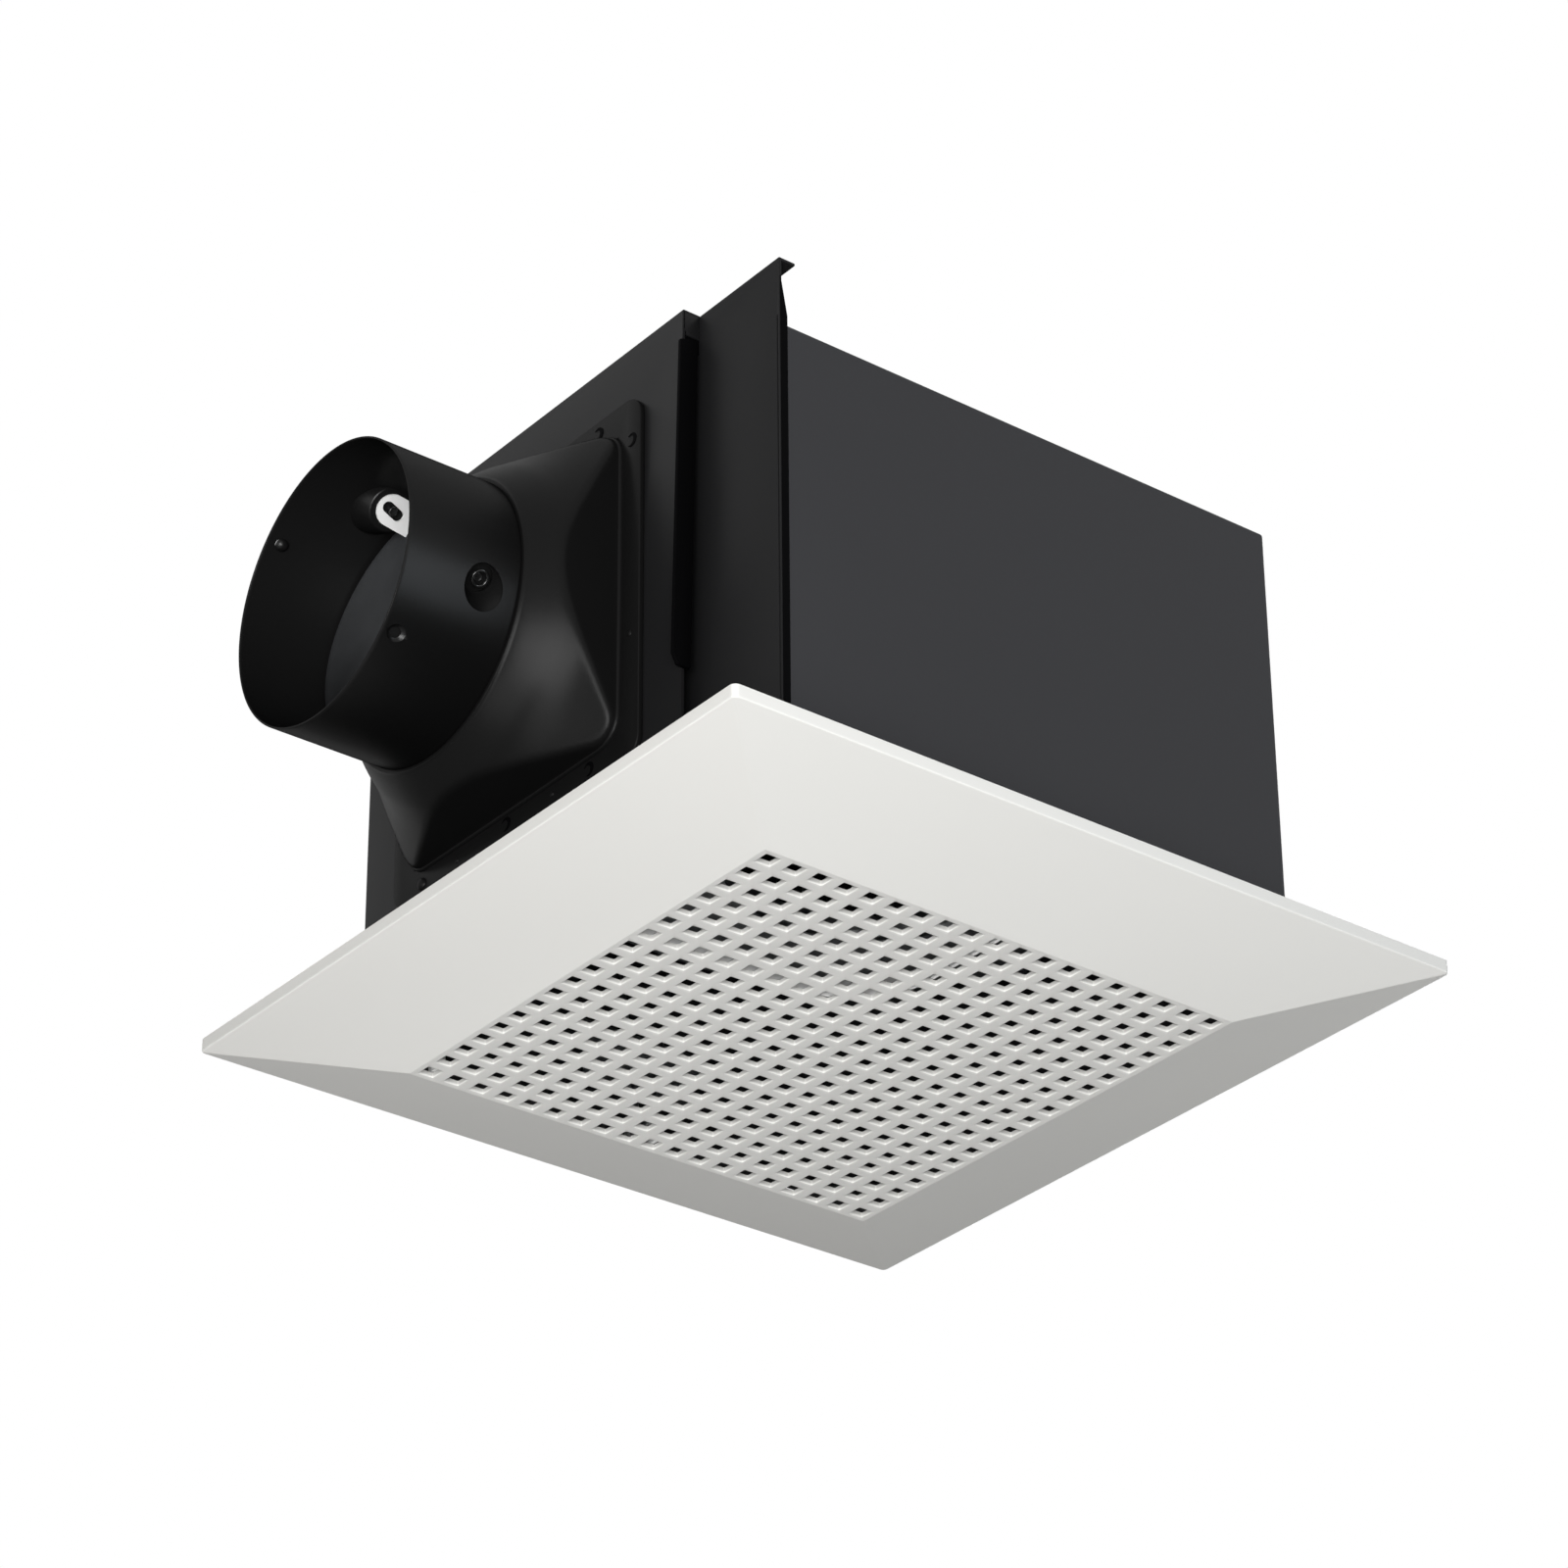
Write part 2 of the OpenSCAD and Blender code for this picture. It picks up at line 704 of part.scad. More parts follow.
module scroll_posts() {
    color("silver") for (angle = [0, 120, 240])
        wheel_frame() rotate([0, 0, angle]) translate([post_circle, 0, scroll_top])
            cylinder(r = post_r, h = head_room);
}

module motor_bracket() {
    arm = 14;
    color("silver") difference() {
        translate([0, 0, bracket_z]) linear_extrude(bracket_wall) union() {
            translate([wheel_x, wheel_y]) circle(r = 32);
            for (angle = [-30, 90, 210]) translate([wheel_x, wheel_y]) rotate(angle) {
                translate([0, -arm / 2]) square([bush_circle, arm]);
                translate([bush_circle, 0]) circle(r = arm / 2);
            }
        }
        wheel_frame() translate([0, 0, bracket_z - cut]) cylinder(r = 12, h = bracket_wall + 2 * cut);
        bush_places() translate([0, 0, bracket_z - cut])
            cylinder(r = bolt_r, h = bracket_wall + 2 * cut);
        motor_screw_places() translate([0, 0, bracket_z - cut])
            cylinder(r = 1.8, h = bracket_wall + 2 * cut);
    }
}

module motor_screw_places() {
    for (angle = [30, 150, 270])
        wheel_frame() rotate([0, 0, angle]) translate([22, 0, 0]) children();
}

module motor_bushes() {
    color("#1b1b1b") bush_places() {
        tube(bush_r, bolt_r, scroll_top, scroll_top + 1.4);
        tube(bush_r - 1.2, bolt_r, scroll_top + 1.4, bracket_z - 1.4);
        tube(bush_r, bolt_r, bracket_z - 1.4, bracket_z);
    }
}

module bracket_bolts() {
    roof = scroll_top - scroll_wall;
    color("silver") bush_places() {
        translate([0, 0, roof - 1.6]) cylinder(r = nut_r, h = 1.6);
        translate([0, 0, roof]) cylinder(r = bolt_r, h = bracket_z + bracket_wall + 4.5 - roof);
        translate([0, 0, bracket_z + bracket_wall]) difference() {
            cylinder(r = nut_r, h = 3.2, $fn = 6);
            translate([0, 0, -cut]) cylinder(r = bolt_r, h = 3.2 + 2 * cut, $fn = 32);
        }
    }
}

module motor_screws() {
    color("silver") motor_screw_places() translate([0, 0, bracket_z + bracket_wall])
        pan_screw(3.4, 2, 1.8, bracket_wall + motor_wall + 2.5);
}

// A motor shell drawn as a cup with its mouth down
module motor_cup(height, hole) {
    inner = motor_r - motor_wall;
    difference() {
        union() {
            cylinder(r = motor_r, h = height);
            cylinder(r = motor_r + motor_lip, h = motor_wall);
        }
        translate([0, 0, -cut]) cylinder(r = inner, h = height - motor_wall + cut);
        translate([0, 0, -cut]) cylinder(r = hole, h = height + 2 * cut);
        for (angle = [0:30:330]) rotate([0, 0, angle])
            translate([30, 0, height - motor_wall - cut]) cylinder(r = 3, h = motor_wall + 2 * cut);
    }
    tube(bearing_r + bearing_boss, bearing_r, height - motor_wall - bearing_height,
        height - motor_wall);
}

module motor_upper_shell() {
    color("silver") wheel_frame() difference() {
        translate([0, 0, motor_split]) motor_cup(motor_top - motor_split, shaft_r + 1);
        for (angle = [30, 150, 270]) rotate([0, 0, angle])
            translate([22, 0, motor_top - motor_wall - cut]) cylinder(r = 1.8, h = motor_wall + 2 * cut);
    }
}

module motor_lower_shell() {
    color("silver") wheel_frame() translate([0, 0, motor_split]) mirror([0, 0, 1])
        motor_cup(motor_split - motor_bottom, shaft_r + 2);
}

module stator_core() {
    color("#6f7275") wheel_frame() difference() {
        tube(stator_r, rotor_r + air_gap, stator_z, stator_z + stator_height);
        for (angle = [0:30:330]) rotate([0, 0, angle])
            translate([(rotor_r + stator_r) / 2, 0, stator_z - cut])
                cylinder(r = 3.6, h = stator_height + 2 * cut);
    }
}

module stator_winding() {
    middle = (rotor_r + stator_r) / 2;
    color("#b5651d") wheel_frame() {
        for (end = [0, 1]) translate([0, 0, motor_split]) mirror([0, 0, end])
            rotate_extrude() translate([middle, stator_height / 2 + 4])
                rounded_square(4, 2);
        for (angle = [0:30:330]) rotate([0, 0, angle])
            translate([middle, 0, stator_z]) cylinder(r = 3.2, h = stator_height);
    }
}

module ball_bearing(low) {
    color("silver") wheel_frame() {
        difference() {
            tube(bearing_r, shaft_r + shaft_clearance, low, low + bearing_height);
            for (z = [low - 0.5, low + bearing_height - 0.5]) tube(bearing_r - 1.4,
                shaft_r + 1.4, z, z + 1);
        }
    }
}

module bearing_upper() {
    ball_bearing(motor_top - motor_wall - bearing_height);
}

module bearing_lower() {
    ball_bearing(motor_bottom + motor_wall);
}

module rotor() {
    color("#8a8d90") wheel_frame()
        tube(rotor_r, shaft_r, stator_z - 2, stator_z + stator_height + 2);
}

module motor_shaft() {
    color("silver") wheel_frame() translate([0, 0, shaft_end])
        cylinder(r = shaft_r, h = shaft_top - shaft_end);
}

module wheel_hub() {
    color("#2a2b2d") wheel_frame() {
        tube(hub_r, shaft_r, hub_bottom, hub_top);
        tube(hub_r + 6, hub_r - 0.5, cup_floor - 2.5, cup_floor);
    }
}

// Cup over the motor, with a flat collar that the blades hang from
module wheel_backplate() {
    color("#2a2b2d") wheel_frame() {
        tube(cup_r, hub_r, cup_floor, cup_floor + wheel_wall);
        tube(cup_r, cup_r - wheel_wall, cup_floor, blades_top + wheel_wall);
        tube(wheel_r, cup_r - wheel_wall, blades_top, blades_top + wheel_wall);
    }
}

// One blade in plan: a forward curved strip between two arcs
module blade_plan() {
    bend = blade_depth * 0.75;
    middle = wheel_r - blade_depth / 2;
    intersection() {
        translate([middle, bend * 0.6]) difference() {
            circle(r = bend, $fn = 48);
            circle(r = bend - blade_wall, $fn = 48);
        }
        difference() {
            circle(r = wheel_r, $fn = 96);
            circle(r = wheel_r - blade_depth, $fn = 96);
        }
        translate([0, -bend]) square([wheel_r, bend * 1.6]);
    }
}

module wheel_blades() {
    color("#2a2b2d") wheel_frame() for (i = [0:blade_count - 1])
        rotate([0, 0, i * 360 / blade_count]) translate([0, 0, blades_z])
            linear_extrude(blade_height) blade_plan();
}

module wheel_ring() {
    color("#2a2b2d") wheel_frame()
        tube(wheel_r, wheel_r - blade_depth, wheel_bottom, blades_z);
}

module wheel_nut() {
    color("silver") wheel_frame() difference() {
        translate([0, 0, hub_bottom - nut_height]) cylinder(r = 7.5, h = nut_height, $fn = 6);
        translate([0, 0, hub_bottom - nut_height - cut])
            cylinder(r = shaft_r, h = nut_height + 2 * cut, $fn = 48);
    }
}

// Plan of the oval capacitor can
module capacitor_plan(extra) {
    r = capacitor_width / 2;
    middle = -side_inner + r + strap_wall;
    for (x = [r, capacitor_length - r]) translate([capacitor_x + x, middle]) circle(r = r + extra);
    translate([capacitor_x + r, middle - r - extra])
        square([capacitor_length - 2 * r, 2 * (r + extra)]);
}

module capacitor() {
    color("#d8d8d6") translate([0, 0, capacitor_z]) linear_extrude(capacitor_height)
        capacitor_plan(0);
    color("#c9a24b") for (a = [0.35, 0.65])
        translate([capacitor_x + a * capacitor_length, -side_inner + capacitor_width / 2,
            capacitor_z + capacitor_height]) cylinder(r = 1.2, h = 6);
}

module capacitor_strap() {
    band = 12;
    low = capacitor_z + (capacitor_height - band) / 2;
    tab = capacitor_x + capacitor_length;
    color("silver") difference() {
        union() {
            translate([0, 0, low]) linear_extrude(band) difference() {
                capacitor_plan(strap_wall);
                capacitor_plan(0);
            }
            block([tab - capacitor_width / 2, -side_inner, low],
                [tab + 12, -side_inner + strap_wall, low + band]);
        }
        translate([0, 0, low - cut]) linear_extrude(band + 2 * cut) capacitor_plan(0);
        translate([tab + 7, -side_inner - cut, low + band / 2]) rotate([-90, 0, 0])
            cylinder(r = 1.6, h = strap_wall + 2 * cut, $fn = 32);
    }
}

module capacitor_screw() {
    color("silver") translate([capacitor_x + capacitor_length + 7, -side_inner + strap_wall,
        capacitor_z + capacitor_height / 2]) rotate([-90, 0, 0]) pan_screw(3, 1.8, 1.6, strap_wall);
}

module terminal_box() {
    w = terminal_wall;
    color("silver") difference() {
        block([terminal_x, terminal_y, terminal_floor],
            [far_inner, side_inner, terminal_floor + terminal_height]);
        block([terminal_x + w, terminal_y + w, terminal_floor - cut],
            [far_inner + cut, side_inner - w, terminal_floor + terminal_height - w]);
        translate([lead_x, lead_y, terminal_floor + terminal_height - w - cut])
            cylinder(r = 4, h = w + 2 * cut);
        translate([terminal_x - cut, terminal_y + 8, cable_z - 10]) rotate([0, 90, 0])
            cylinder(r = 1.7, h = w + 2 * cut, $fn = 32);
    }
}

module terminal_cover() {
    w = terminal_wall;
    gap = 0.2;
    color("silver") difference() {
        union() {
            block([terminal_x, terminal_y, terminal_floor - w], [far_inner, side_inner, terminal_floor]);
            block([terminal_x + w + gap, terminal_y + w + gap, terminal_floor],
                [terminal_x + 2 * w + gap, side_inner - w - gap, terminal_floor + 5]);
        }
        translate([terminal_x + 16, terminal_y + terminal_width / 2, terminal_floor - w - cut])
            cylinder(r = 1.6, h = w + 2 * cut, $fn = 32);
    }
}

module cover_screw() {
    color("silver") translate([terminal_x + 16, terminal_y + terminal_width / 2,
        terminal_floor - terminal_wall]) rotate([180, 0, 0]) pan_screw(3, 1.8, 1.6, 8);
}

// Terminal block on the side wall of its box
block_length = 20;
block_depth = 9;
block_height = 13;
block_x = terminal_x + 3;
block_y = side_inner - terminal_wall - block_depth;
block_z = terminal_floor + terminal_height - 36;
module terminal_block() {
    pitch = block_length / 3;
    color("#e8e6df") difference() {
        block([block_x, block_y, block_z], [block_x + block_length, block_y + block_depth,
            block_z + block_height]);
        for (i = [0:2]) translate([block_x + (i + 0.5) * pitch, block_y - cut,
            block_z + block_height / 2]) rotate([-90, 0, 0]) cylinder(r = 2.2, h = 4 + cut, $fn = 32);
        for (i = [0:2]) translate([block_x + (i + 0.5) * pitch, block_y + 6.5, block_z - cut])
            cylinder(r = 1.5, h = block_height + 2 * cut, $fn = 32);
    }
}

module terminal_screws() {
    pitch = block_length / 3;
    color("#c9a24b") for (i = [0:2]) translate([block_x + (i + 0.5) * pitch, block_y + 2,
        block_z + block_height / 2]) rotate([90, 0, 0]) pan_screw(2.1, 1.4, 1.2, 2);
}

// Saddle that grips the cable just inside its grommet
clamp_x = far_inner - 9;
module cable_clamp() {
    y = (terminal_y + side_inner) / 2;
    grip = cable_r + 0.5;
    color("silver") difference() {
        block([clamp_x - 4, y - grip - 5, cable_z + grip - 2], [clamp_x + 4, y + grip + 5,
            cable_z + grip + 2]);
        translate([clamp_x - 4 - cut, y, cable_z]) rotate([0, 90, 0])
            cylinder(r = grip, h = 8 + 2 * cut);
        for (a = [-1, 1]) translate([clamp_x, y + a * (grip + 2.4), cable_z])
            cylinder(r = 1.3, h = 20, $fn = 32);
    }
}

module clamp_screws() {
    y = (terminal_y + side_inner) / 2;
    grip = cable_r + 0.5;
    roof = terminal_floor + terminal_height - terminal_wall;
    color("silver") for (a = [-1, 1]) translate([clamp_x, y + a * (grip + 2.4), cable_z + grip - 2])
        rotate([180, 0, 0]) pan_screw(2.3, 1.4, 1.3, roof - cable_z - grip + 2);
}

module cable_grommet() {
    color("#151515") translate([wall_far, (terminal_y + side_inner) / 2, cable_z])
        rotate([0, 90, 0]) {
            tube(cable_hole_r, cable_r, -sheet, 0);
            tube(cable_hole_r + 2.5, cable_r, 0, 2);
            tube(cable_hole_r + 2.5, cable_r, -sheet - 2, -sheet);
        }
}

module earth_screw() {
    color("#6f9a5a") translate([terminal_x + terminal_wall, terminal_y + 8, cable_z - 10])
        rotate([0, 90, 0]) pan_screw(3, 1.8, 1.6, terminal_wall + 1);
}

module lead_grommet() {
    roof = terminal_floor + terminal_height;
    color("#151515") translate([lead_x, lead_y, 0]) {
        tube(4, lead_r, roof - terminal_wall, roof);
        tube(5.4, lead_r, roof, roof + 1.5);
        tube(5.4, lead_r, roof - terminal_wall - 1.5, roof - terminal_wall);
    }
}

// Sheathed lead from the motor's side to the terminal box
module motor_lead() {
    bend = 6;
    run = norm([lead_x, lead_y] - [wheel_x, wheel_y]) - motor_r - bend;
    low = terminal_floor + terminal_height - 8;
    color("#202020") translate([lead_x, lead_y, lead_z]) rotate([0, 0, lead_angle]) {
        translate([-bend - run, 0, 0]) rotate([0, 90, 0]) cylinder(r = lead_r, h = run, $fn = 32);
        translate([-bend, 0, -bend]) rotate([90, 0, 0]) rotate_extrude(angle = 90)
            translate([bend, 0]) circle(r = lead_r, $fn = 32);
        translate([0, 0, low - lead_z]) cylinder(r = lead_r, h = lead_z - bend - low, $fn = 32);
    }
}

// Both springs and both brackets mirror each other across the fan
module both_sides() {
    for (a = [0, 1]) mirror([0, a, 0]) children();
}

module spring_brackets() {
    long = 2 * (slot_half + bracket_end);
    slot_y = coil_half + wire_r + 0.35;
    tab_y = spring_y - slot_y - 4;
    color("silver") both_sides() difference() {
        union() {
            block([spring_x - long / 2, side_inner - sheet, tab_height - bracket_foot],
                [spring_x + long / 2, side_inner, tab_height + bracket_head]);
            block([spring_x - long / 2, tab_y, tab_height],
                [spring_x + long / 2, side_inner, tab_height + sheet]);
        }
        block([spring_x - slot_half, spring_y - slot_y, tab_height - cut],
            [spring_x + slot_half, spring_y + slot_y, tab_height + sheet + cut]);
    }
}

// One unbroken wire: hook, leg, coil, leg and hook
coil_points = 24;
leg_run = leg_top - coil_z;
leg_out = coil_r + leg_run * tan(leg_splay);
function leg_point(s, hand) = [hand * (coil_r + (leg_out - coil_r) * s), hand * coil_half, leg_run * s];
function wire_path() = concat(
    [[-leg_out - hook_length, -coil_half, leg_run], leg_point(1, -1)],
    [for (s = [0.66, 0.33]) leg_point(s, -1)],
    [for (i = [0:coil_points * coil_turns]) let (turn = i / coil_points)
        [-coil_r * cos(360 * turn), -coil_half + coil_pitch * turn, -coil_r * sin(360 * turn)]],
    [for (s = [0.33, 0.66]) leg_point(s, 1)],
    [leg_point(1, 1), [leg_out + hook_length, coil_half, leg_run]]);

// Sweeps a polygon along a path; each ring lies square to the path there
function unit(v) = v / norm(v);
function path_heading(path, i) = i == 0 ? unit(path[1] - path[0])
    : i == len(path) - 1 ? unit(path[i] - path[i - 1])
    : unit(unit(path[i + 1] - path[i]) + unit(path[i] - path[i - 1]));
module swept_wire(path, r, sides) {
    rings = [for (i = [0:len(path) - 1]) let (
        forward = path_heading(path, i),
        across = unit(cross(forward, [0, 1, 0])),
        up = cross(forward, across))
        for (k = [0:sides - 1]) path[i] + r * (cos(360 * k / sides) * across
            + sin(360 * k / sides) * up)];
    last = len(path) - 1;
    walls = [for (i = [0:last - 1], k = [0:sides - 1]) let (a = i * sides + k,
        b = i * sides + (k + 1) % sides) each [[a, b, b + sides], [a, b + sides, a + sides]]];
    start_cap = [for (k = [1:sides - 2]) [0, k + 1, k]];
    end_cap = [for (k = [1:sides - 2]) [last * sides, last * sides + k, last * sides + k + 1]];
    polyhedron(points = rings, faces = concat(walls, start_cap, end_cap));
}

module grille_springs() {
    color("silver") both_sides() translate([spring_x, spring_y, coil_z])
        swept_wire(wire_path(), wire_r, wire_sides);
}

// Lug and pin that carry each spring coil
module spring_posts() {
    out = coil_half + wire_r + 0.6;
    color("#dcdcda") both_sides() translate([spring_x, spring_y, coil_z]) {
        rotate([90, 0, 0]) translate([0, 0, -out - 2]) cylinder(r = post_pin_r, h = 2 * out + 3);
        along_x(-4, 4) polygon([[out, border_floor(spring_y + out) - coil_z],
            [out + 2, border_floor(spring_y + out + 2) - coil_z],
            [out + 2, post_pin_r], [out, post_pin_r]]);
    }
}

// Height of the sloping border's inner face at a distance from the middle
function border_floor(place) = lattice_back
    + (place - lattice_half) * (grille_depth - rim_height) / (inner_rim - lattice_half);

module grille_frame() {
    color("#e9e9e7") difference() {
        hull() {
            block([-rim_half, -rim_half, -rim_height], [rim_half, rim_half, 0]);
            block([-lattice_half, -lattice_half, -grille_depth], [lattice_half, lattice_half, -1]);
        }
        hull() {
            block([-inner_rim, -inner_rim, -rim_height + grille_wall], [inner_rim, inner_rim, cut]);
            block([-lattice_half, -lattice_half, lattice_back], [lattice_half, lattice_half, cut]);
        }
        block([-lattice_half, -lattice_half, -grille_depth - cut], [lattice_half, lattice_half, cut]);
    }
}

module grille_lattice() {
    color("#e4e4e2") translate([0, 0, -grille_depth]) linear_extrude(grille_wall) difference() {
        square(2 * lattice_half, center = true);
        for (i = [0:hole_count - 1], j = [0:hole_count - 1])
            translate([(i + 0.5) * hole_pitch - lattice_half, (j + 0.5) * hole_pitch - lattice_half])
                square(hole_side, center = true);
    }
}

// A curved stiffening rib behind the lattice, and two short ones at its far edge
module grille_ribs() {
    rib_y = -25.6;
    rib_x = 1.5;
    bend = 30;
    color("#e4e4e2") translate([0, 0, lattice_back]) {
        translate([-lattice_half, rib_y - rib_wall / 2, 0])
            cube([lattice_half + rib_x - bend, rib_wall, rib_height]);
        translate([rib_x - rib_wall / 2, -lattice_half, 0])
            cube([rib_wall, lattice_half + rib_y - bend, rib_height]);
        translate([rib_x - bend, rib_y - bend, 0]) rotate_extrude(angle = 90)
            translate([bend - rib_wall / 2, 0]) square([rib_wall, rib_height]);
        for (x = short_rib_places) translate([x - rib_wall / 2, lattice_half - short_rib_length, 0])
            cube([rib_wall, short_rib_length, rib_height]);
    }
}

housing_top();
housing_near_side();
housing_far_side();
housing_back();
ceiling_flange();
duct_wall();
adapter_plate();
adapter_sleeve();
wedge_strip();
duct_flare();
duct_spigot();
damper_gasket();
damper_pins();
damper_flap();
adapter_screws();
plate_screws();
scroll_casing();
scroll_roof();
inlet_plate();
inlet_screws();
scroll_posts();
motor_bracket();
motor_bushes();
bracket_bolts();
motor_screws();
motor_upper_shell();
motor_lower_shell();
stator_core();
stator_winding();
bearing_upper();
bearing_lower();
rotor();
motor_shaft();
wheel_hub();
wheel_backplate();
wheel_blades();
wheel_ring();
wheel_nut();
capacitor();
capacitor_strap();
capacitor_screw();
terminal_box();
terminal_cover();
terminal_block();
terminal_screws();
cover_screw();
cable_clamp();
clamp_screws();
cable_grommet();
earth_screw();
lead_grommet();
motor_lead();
spring_brackets();
grille_springs();
spring_posts();
grille_frame();
grille_lattice();
grille_ribs();
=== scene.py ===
"""Dresses the ceiling exhaust fan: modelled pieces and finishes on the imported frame, in a plain studio."""

import json
import math

import bmesh
import bpy
from mathutils import Matrix, Vector


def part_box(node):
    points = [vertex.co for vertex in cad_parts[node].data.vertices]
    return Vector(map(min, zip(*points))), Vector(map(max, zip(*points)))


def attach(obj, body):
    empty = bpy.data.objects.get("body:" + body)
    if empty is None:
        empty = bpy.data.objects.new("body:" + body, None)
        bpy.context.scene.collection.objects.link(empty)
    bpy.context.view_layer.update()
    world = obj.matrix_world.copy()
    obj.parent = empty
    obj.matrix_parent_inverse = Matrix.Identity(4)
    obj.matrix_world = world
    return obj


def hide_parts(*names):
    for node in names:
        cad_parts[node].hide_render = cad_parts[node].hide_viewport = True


bl_info = {
    "name": "Ceiling Exhaust Fan",
    "version": (1, 0, 0),
    "blender": (4, 5, 0),
    "location": "3D View > Sidebar > Exhaust Fan",
    "description": "Models the grille, housing, duct adapter and damper of a ceiling exhaust fan",
    "category": "Object",
}

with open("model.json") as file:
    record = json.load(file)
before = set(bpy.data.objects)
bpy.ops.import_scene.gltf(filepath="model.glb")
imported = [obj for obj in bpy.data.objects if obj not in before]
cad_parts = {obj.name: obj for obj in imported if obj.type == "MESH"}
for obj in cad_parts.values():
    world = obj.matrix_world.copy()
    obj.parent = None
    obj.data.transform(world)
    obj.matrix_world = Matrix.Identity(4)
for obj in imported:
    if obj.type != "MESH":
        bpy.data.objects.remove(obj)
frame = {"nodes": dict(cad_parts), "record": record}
MM = 0.001


def node_low(node):
    """Lowest corner of a CAD node in millimetres."""
    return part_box(node)[0] / MM


def node_high(node):
    """Highest corner of a CAD node in millimetres."""
    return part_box(node)[1] / MM


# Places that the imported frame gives, in millimetres
RIM = node_high("grille_frame").x
GRILLE_FACE = node_low("grille_frame").z
LATTICE = node_high("grille_lattice").x
BOX_SIDE = node_high("housing_far_side").y
BOX_TOP = node_high("housing_top").z
BOX_END = node_high("housing_back").x
BOX_FOOT = node_low("housing_back").z
WALL = node_low("duct_wall").x
WING_TOP = node_high("duct_wall").z
PLATE = node_low("adapter_plate").x
PLATE_NEAR = node_low("adapter_plate").y
PLATE_FAR = node_high("adapter_plate").y
PLATE_FOOT = node_low("adapter_plate").z
MOUTH = node_low("duct_spigot").x
RING = node_high("duct_spigot").x
SPIGOT_R = (node_high("duct_spigot").y - node_low("duct_spigot").y) / 2
DUCT_Y = (node_high("duct_spigot").y + node_low("duct_spigot").y) / 2
DUCT_Z = (node_high("duct_spigot").z + node_low("duct_spigot").z) / 2
FOOT_FLANGE = (node_high("duct_flare").y - node_low("duct_flare").y) / 2

# The damper hinge in millimetres: its place on the duct axis and its distance from that axis
HINGE_X = MOUTH + 30
HINGE_OFFSET = 25

# Tilt of the hinge, and how far the flap hangs open at rest, in degrees
HINGE_TILT = 45
FLAP_REST = 7


def length(name, description, default):
    """A size that the panel shows, in metres."""
    return bpy.props.FloatProperty(name=name, description=description, default=default, unit="LENGTH")


def tone(name, description, default):
    """A base colour that the panel shows."""
    return bpy.props.FloatVectorProperty(
        name=name, description=description, default=default, subtype="COLOR", size=3, min=0, max=1)


class FanSizes(bpy.types.PropertyGroup):
    """Sizes of the modelled pieces, in metres."""

    rim_height: length("Rim height", "Upright edge of the grille", 4.3 * MM)
    grille_wall: length("Grille wall", "Wall thickness of the grille", 2.2 * MM)
    hole_pitch: length("Hole pitch", "Distance between two lattice holes", 10 * MM)
    hole_mouth: length("Hole mouth", "Side of a lattice hole on the room side", 5.9 * MM)
    hole_throat: length("Hole throat", "Side of a lattice hole at the back", 5.8 * MM)
    lattice_depth: length("Lattice depth", "Thickness of the lattice", 1.85 * MM)
    sheet: length("Sheet", "Thickness of the steel sheet", 1.0 * MM)
    spigot_wall: length("Spigot wall", "Wall thickness of the duct spigot", 2.0 * MM)
    ridge_round: length("Ridge rounding", "Softness of the four ridges of the flare", 1.4 * MM)
    floor_drop: length("Floor drop", "Distance from the ceiling plane to the floor", 2.3)


class FanColours(bpy.types.PropertyGroup):
    """Base colours of the finishes."""

    grille_white: tone("Grille", "White moulding of the grille", (0.80, 0.793, 0.762))
    housing_grey: tone("Housing", "Dark grey powder coat", (0.034, 0.034, 0.0365))
    # the wall and the plate take a darker copy of the housing's grey, as painted shade
    plate_shaded_grey: tone("Duct wall", "Darker coat of the wall and the adapter plate", (0.0088, 0.0088, 0.0092))
    moulding_black: tone("Spigot", "Black moulding of the round spigot", (0.0036, 0.0036, 0.0036))
    flare_black: tone("Flare", "Black moulding of the flare and its flange", (0.0062, 0.0062, 0.0062))
    # the near-black of the strip and the seams, also used as painted shade
    strip_black: tone("Strip", "Matte black strip beside the adapter plate", (0.0012, 0.0012, 0.0014))
    pin_black: tone("Hinge pins", "Dark glossy steel of the hinge pins", (0.008, 0.008, 0.008))
    flap_grey: tone("Flap", "Satin sheet of the damper flap", (0.050, 0.052, 0.055))
    # the ears' near-white paints their glint
    ear_glint_white: tone("Ears", "Bright plating of the flap's ears", (0.93, 0.93, 0.92))


def sizes():
    return bpy.context.scene.fan_sizes


def colours():
    return bpy.context.scene.fan_colours


# Modelling helpers


def clear_selection():
    if bpy.context.object and bpy.context.object.mode != "OBJECT":
        bpy.ops.object.mode_set(mode="OBJECT")
    bpy.ops.object.select_all(action="DESELECT")


def choose(piece):
    """Makes one piece the only selected and active one."""
    clear_selection()
    piece.select_set(True)
    bpy.context.view_layer.objects.active = piece


def settle(piece):
    """Puts a piece's place, turn and scale into its mesh."""
    choose(piece)
    bpy.ops.object.transform_apply(location=True, rotation=True, scale=True)
    return piece


def place(piece, matrix):
    """Moves a piece by a matrix and settles it."""
    piece.matrix_world = matrix
    return settle(piece)


def stretch(piece, scale):
    """Scales a piece about the origin and settles it."""
    piece.scale = scale
    return settle(piece)


def named(name):
    """Names and settles the primitive that was just added."""
    piece = bpy.context.object
    piece.name = name
    piece.data.name = name
    return settle(piece)


def add_block(name, low, high):
    """A block between two corners in millimetres."""
    clear_selection()
    low, high = Vector(low) * MM, Vector(high) * MM
    bpy.ops.mesh.primitive_cube_add(size=1, location=(low + high) / 2, scale=high - low)
    return named(name)


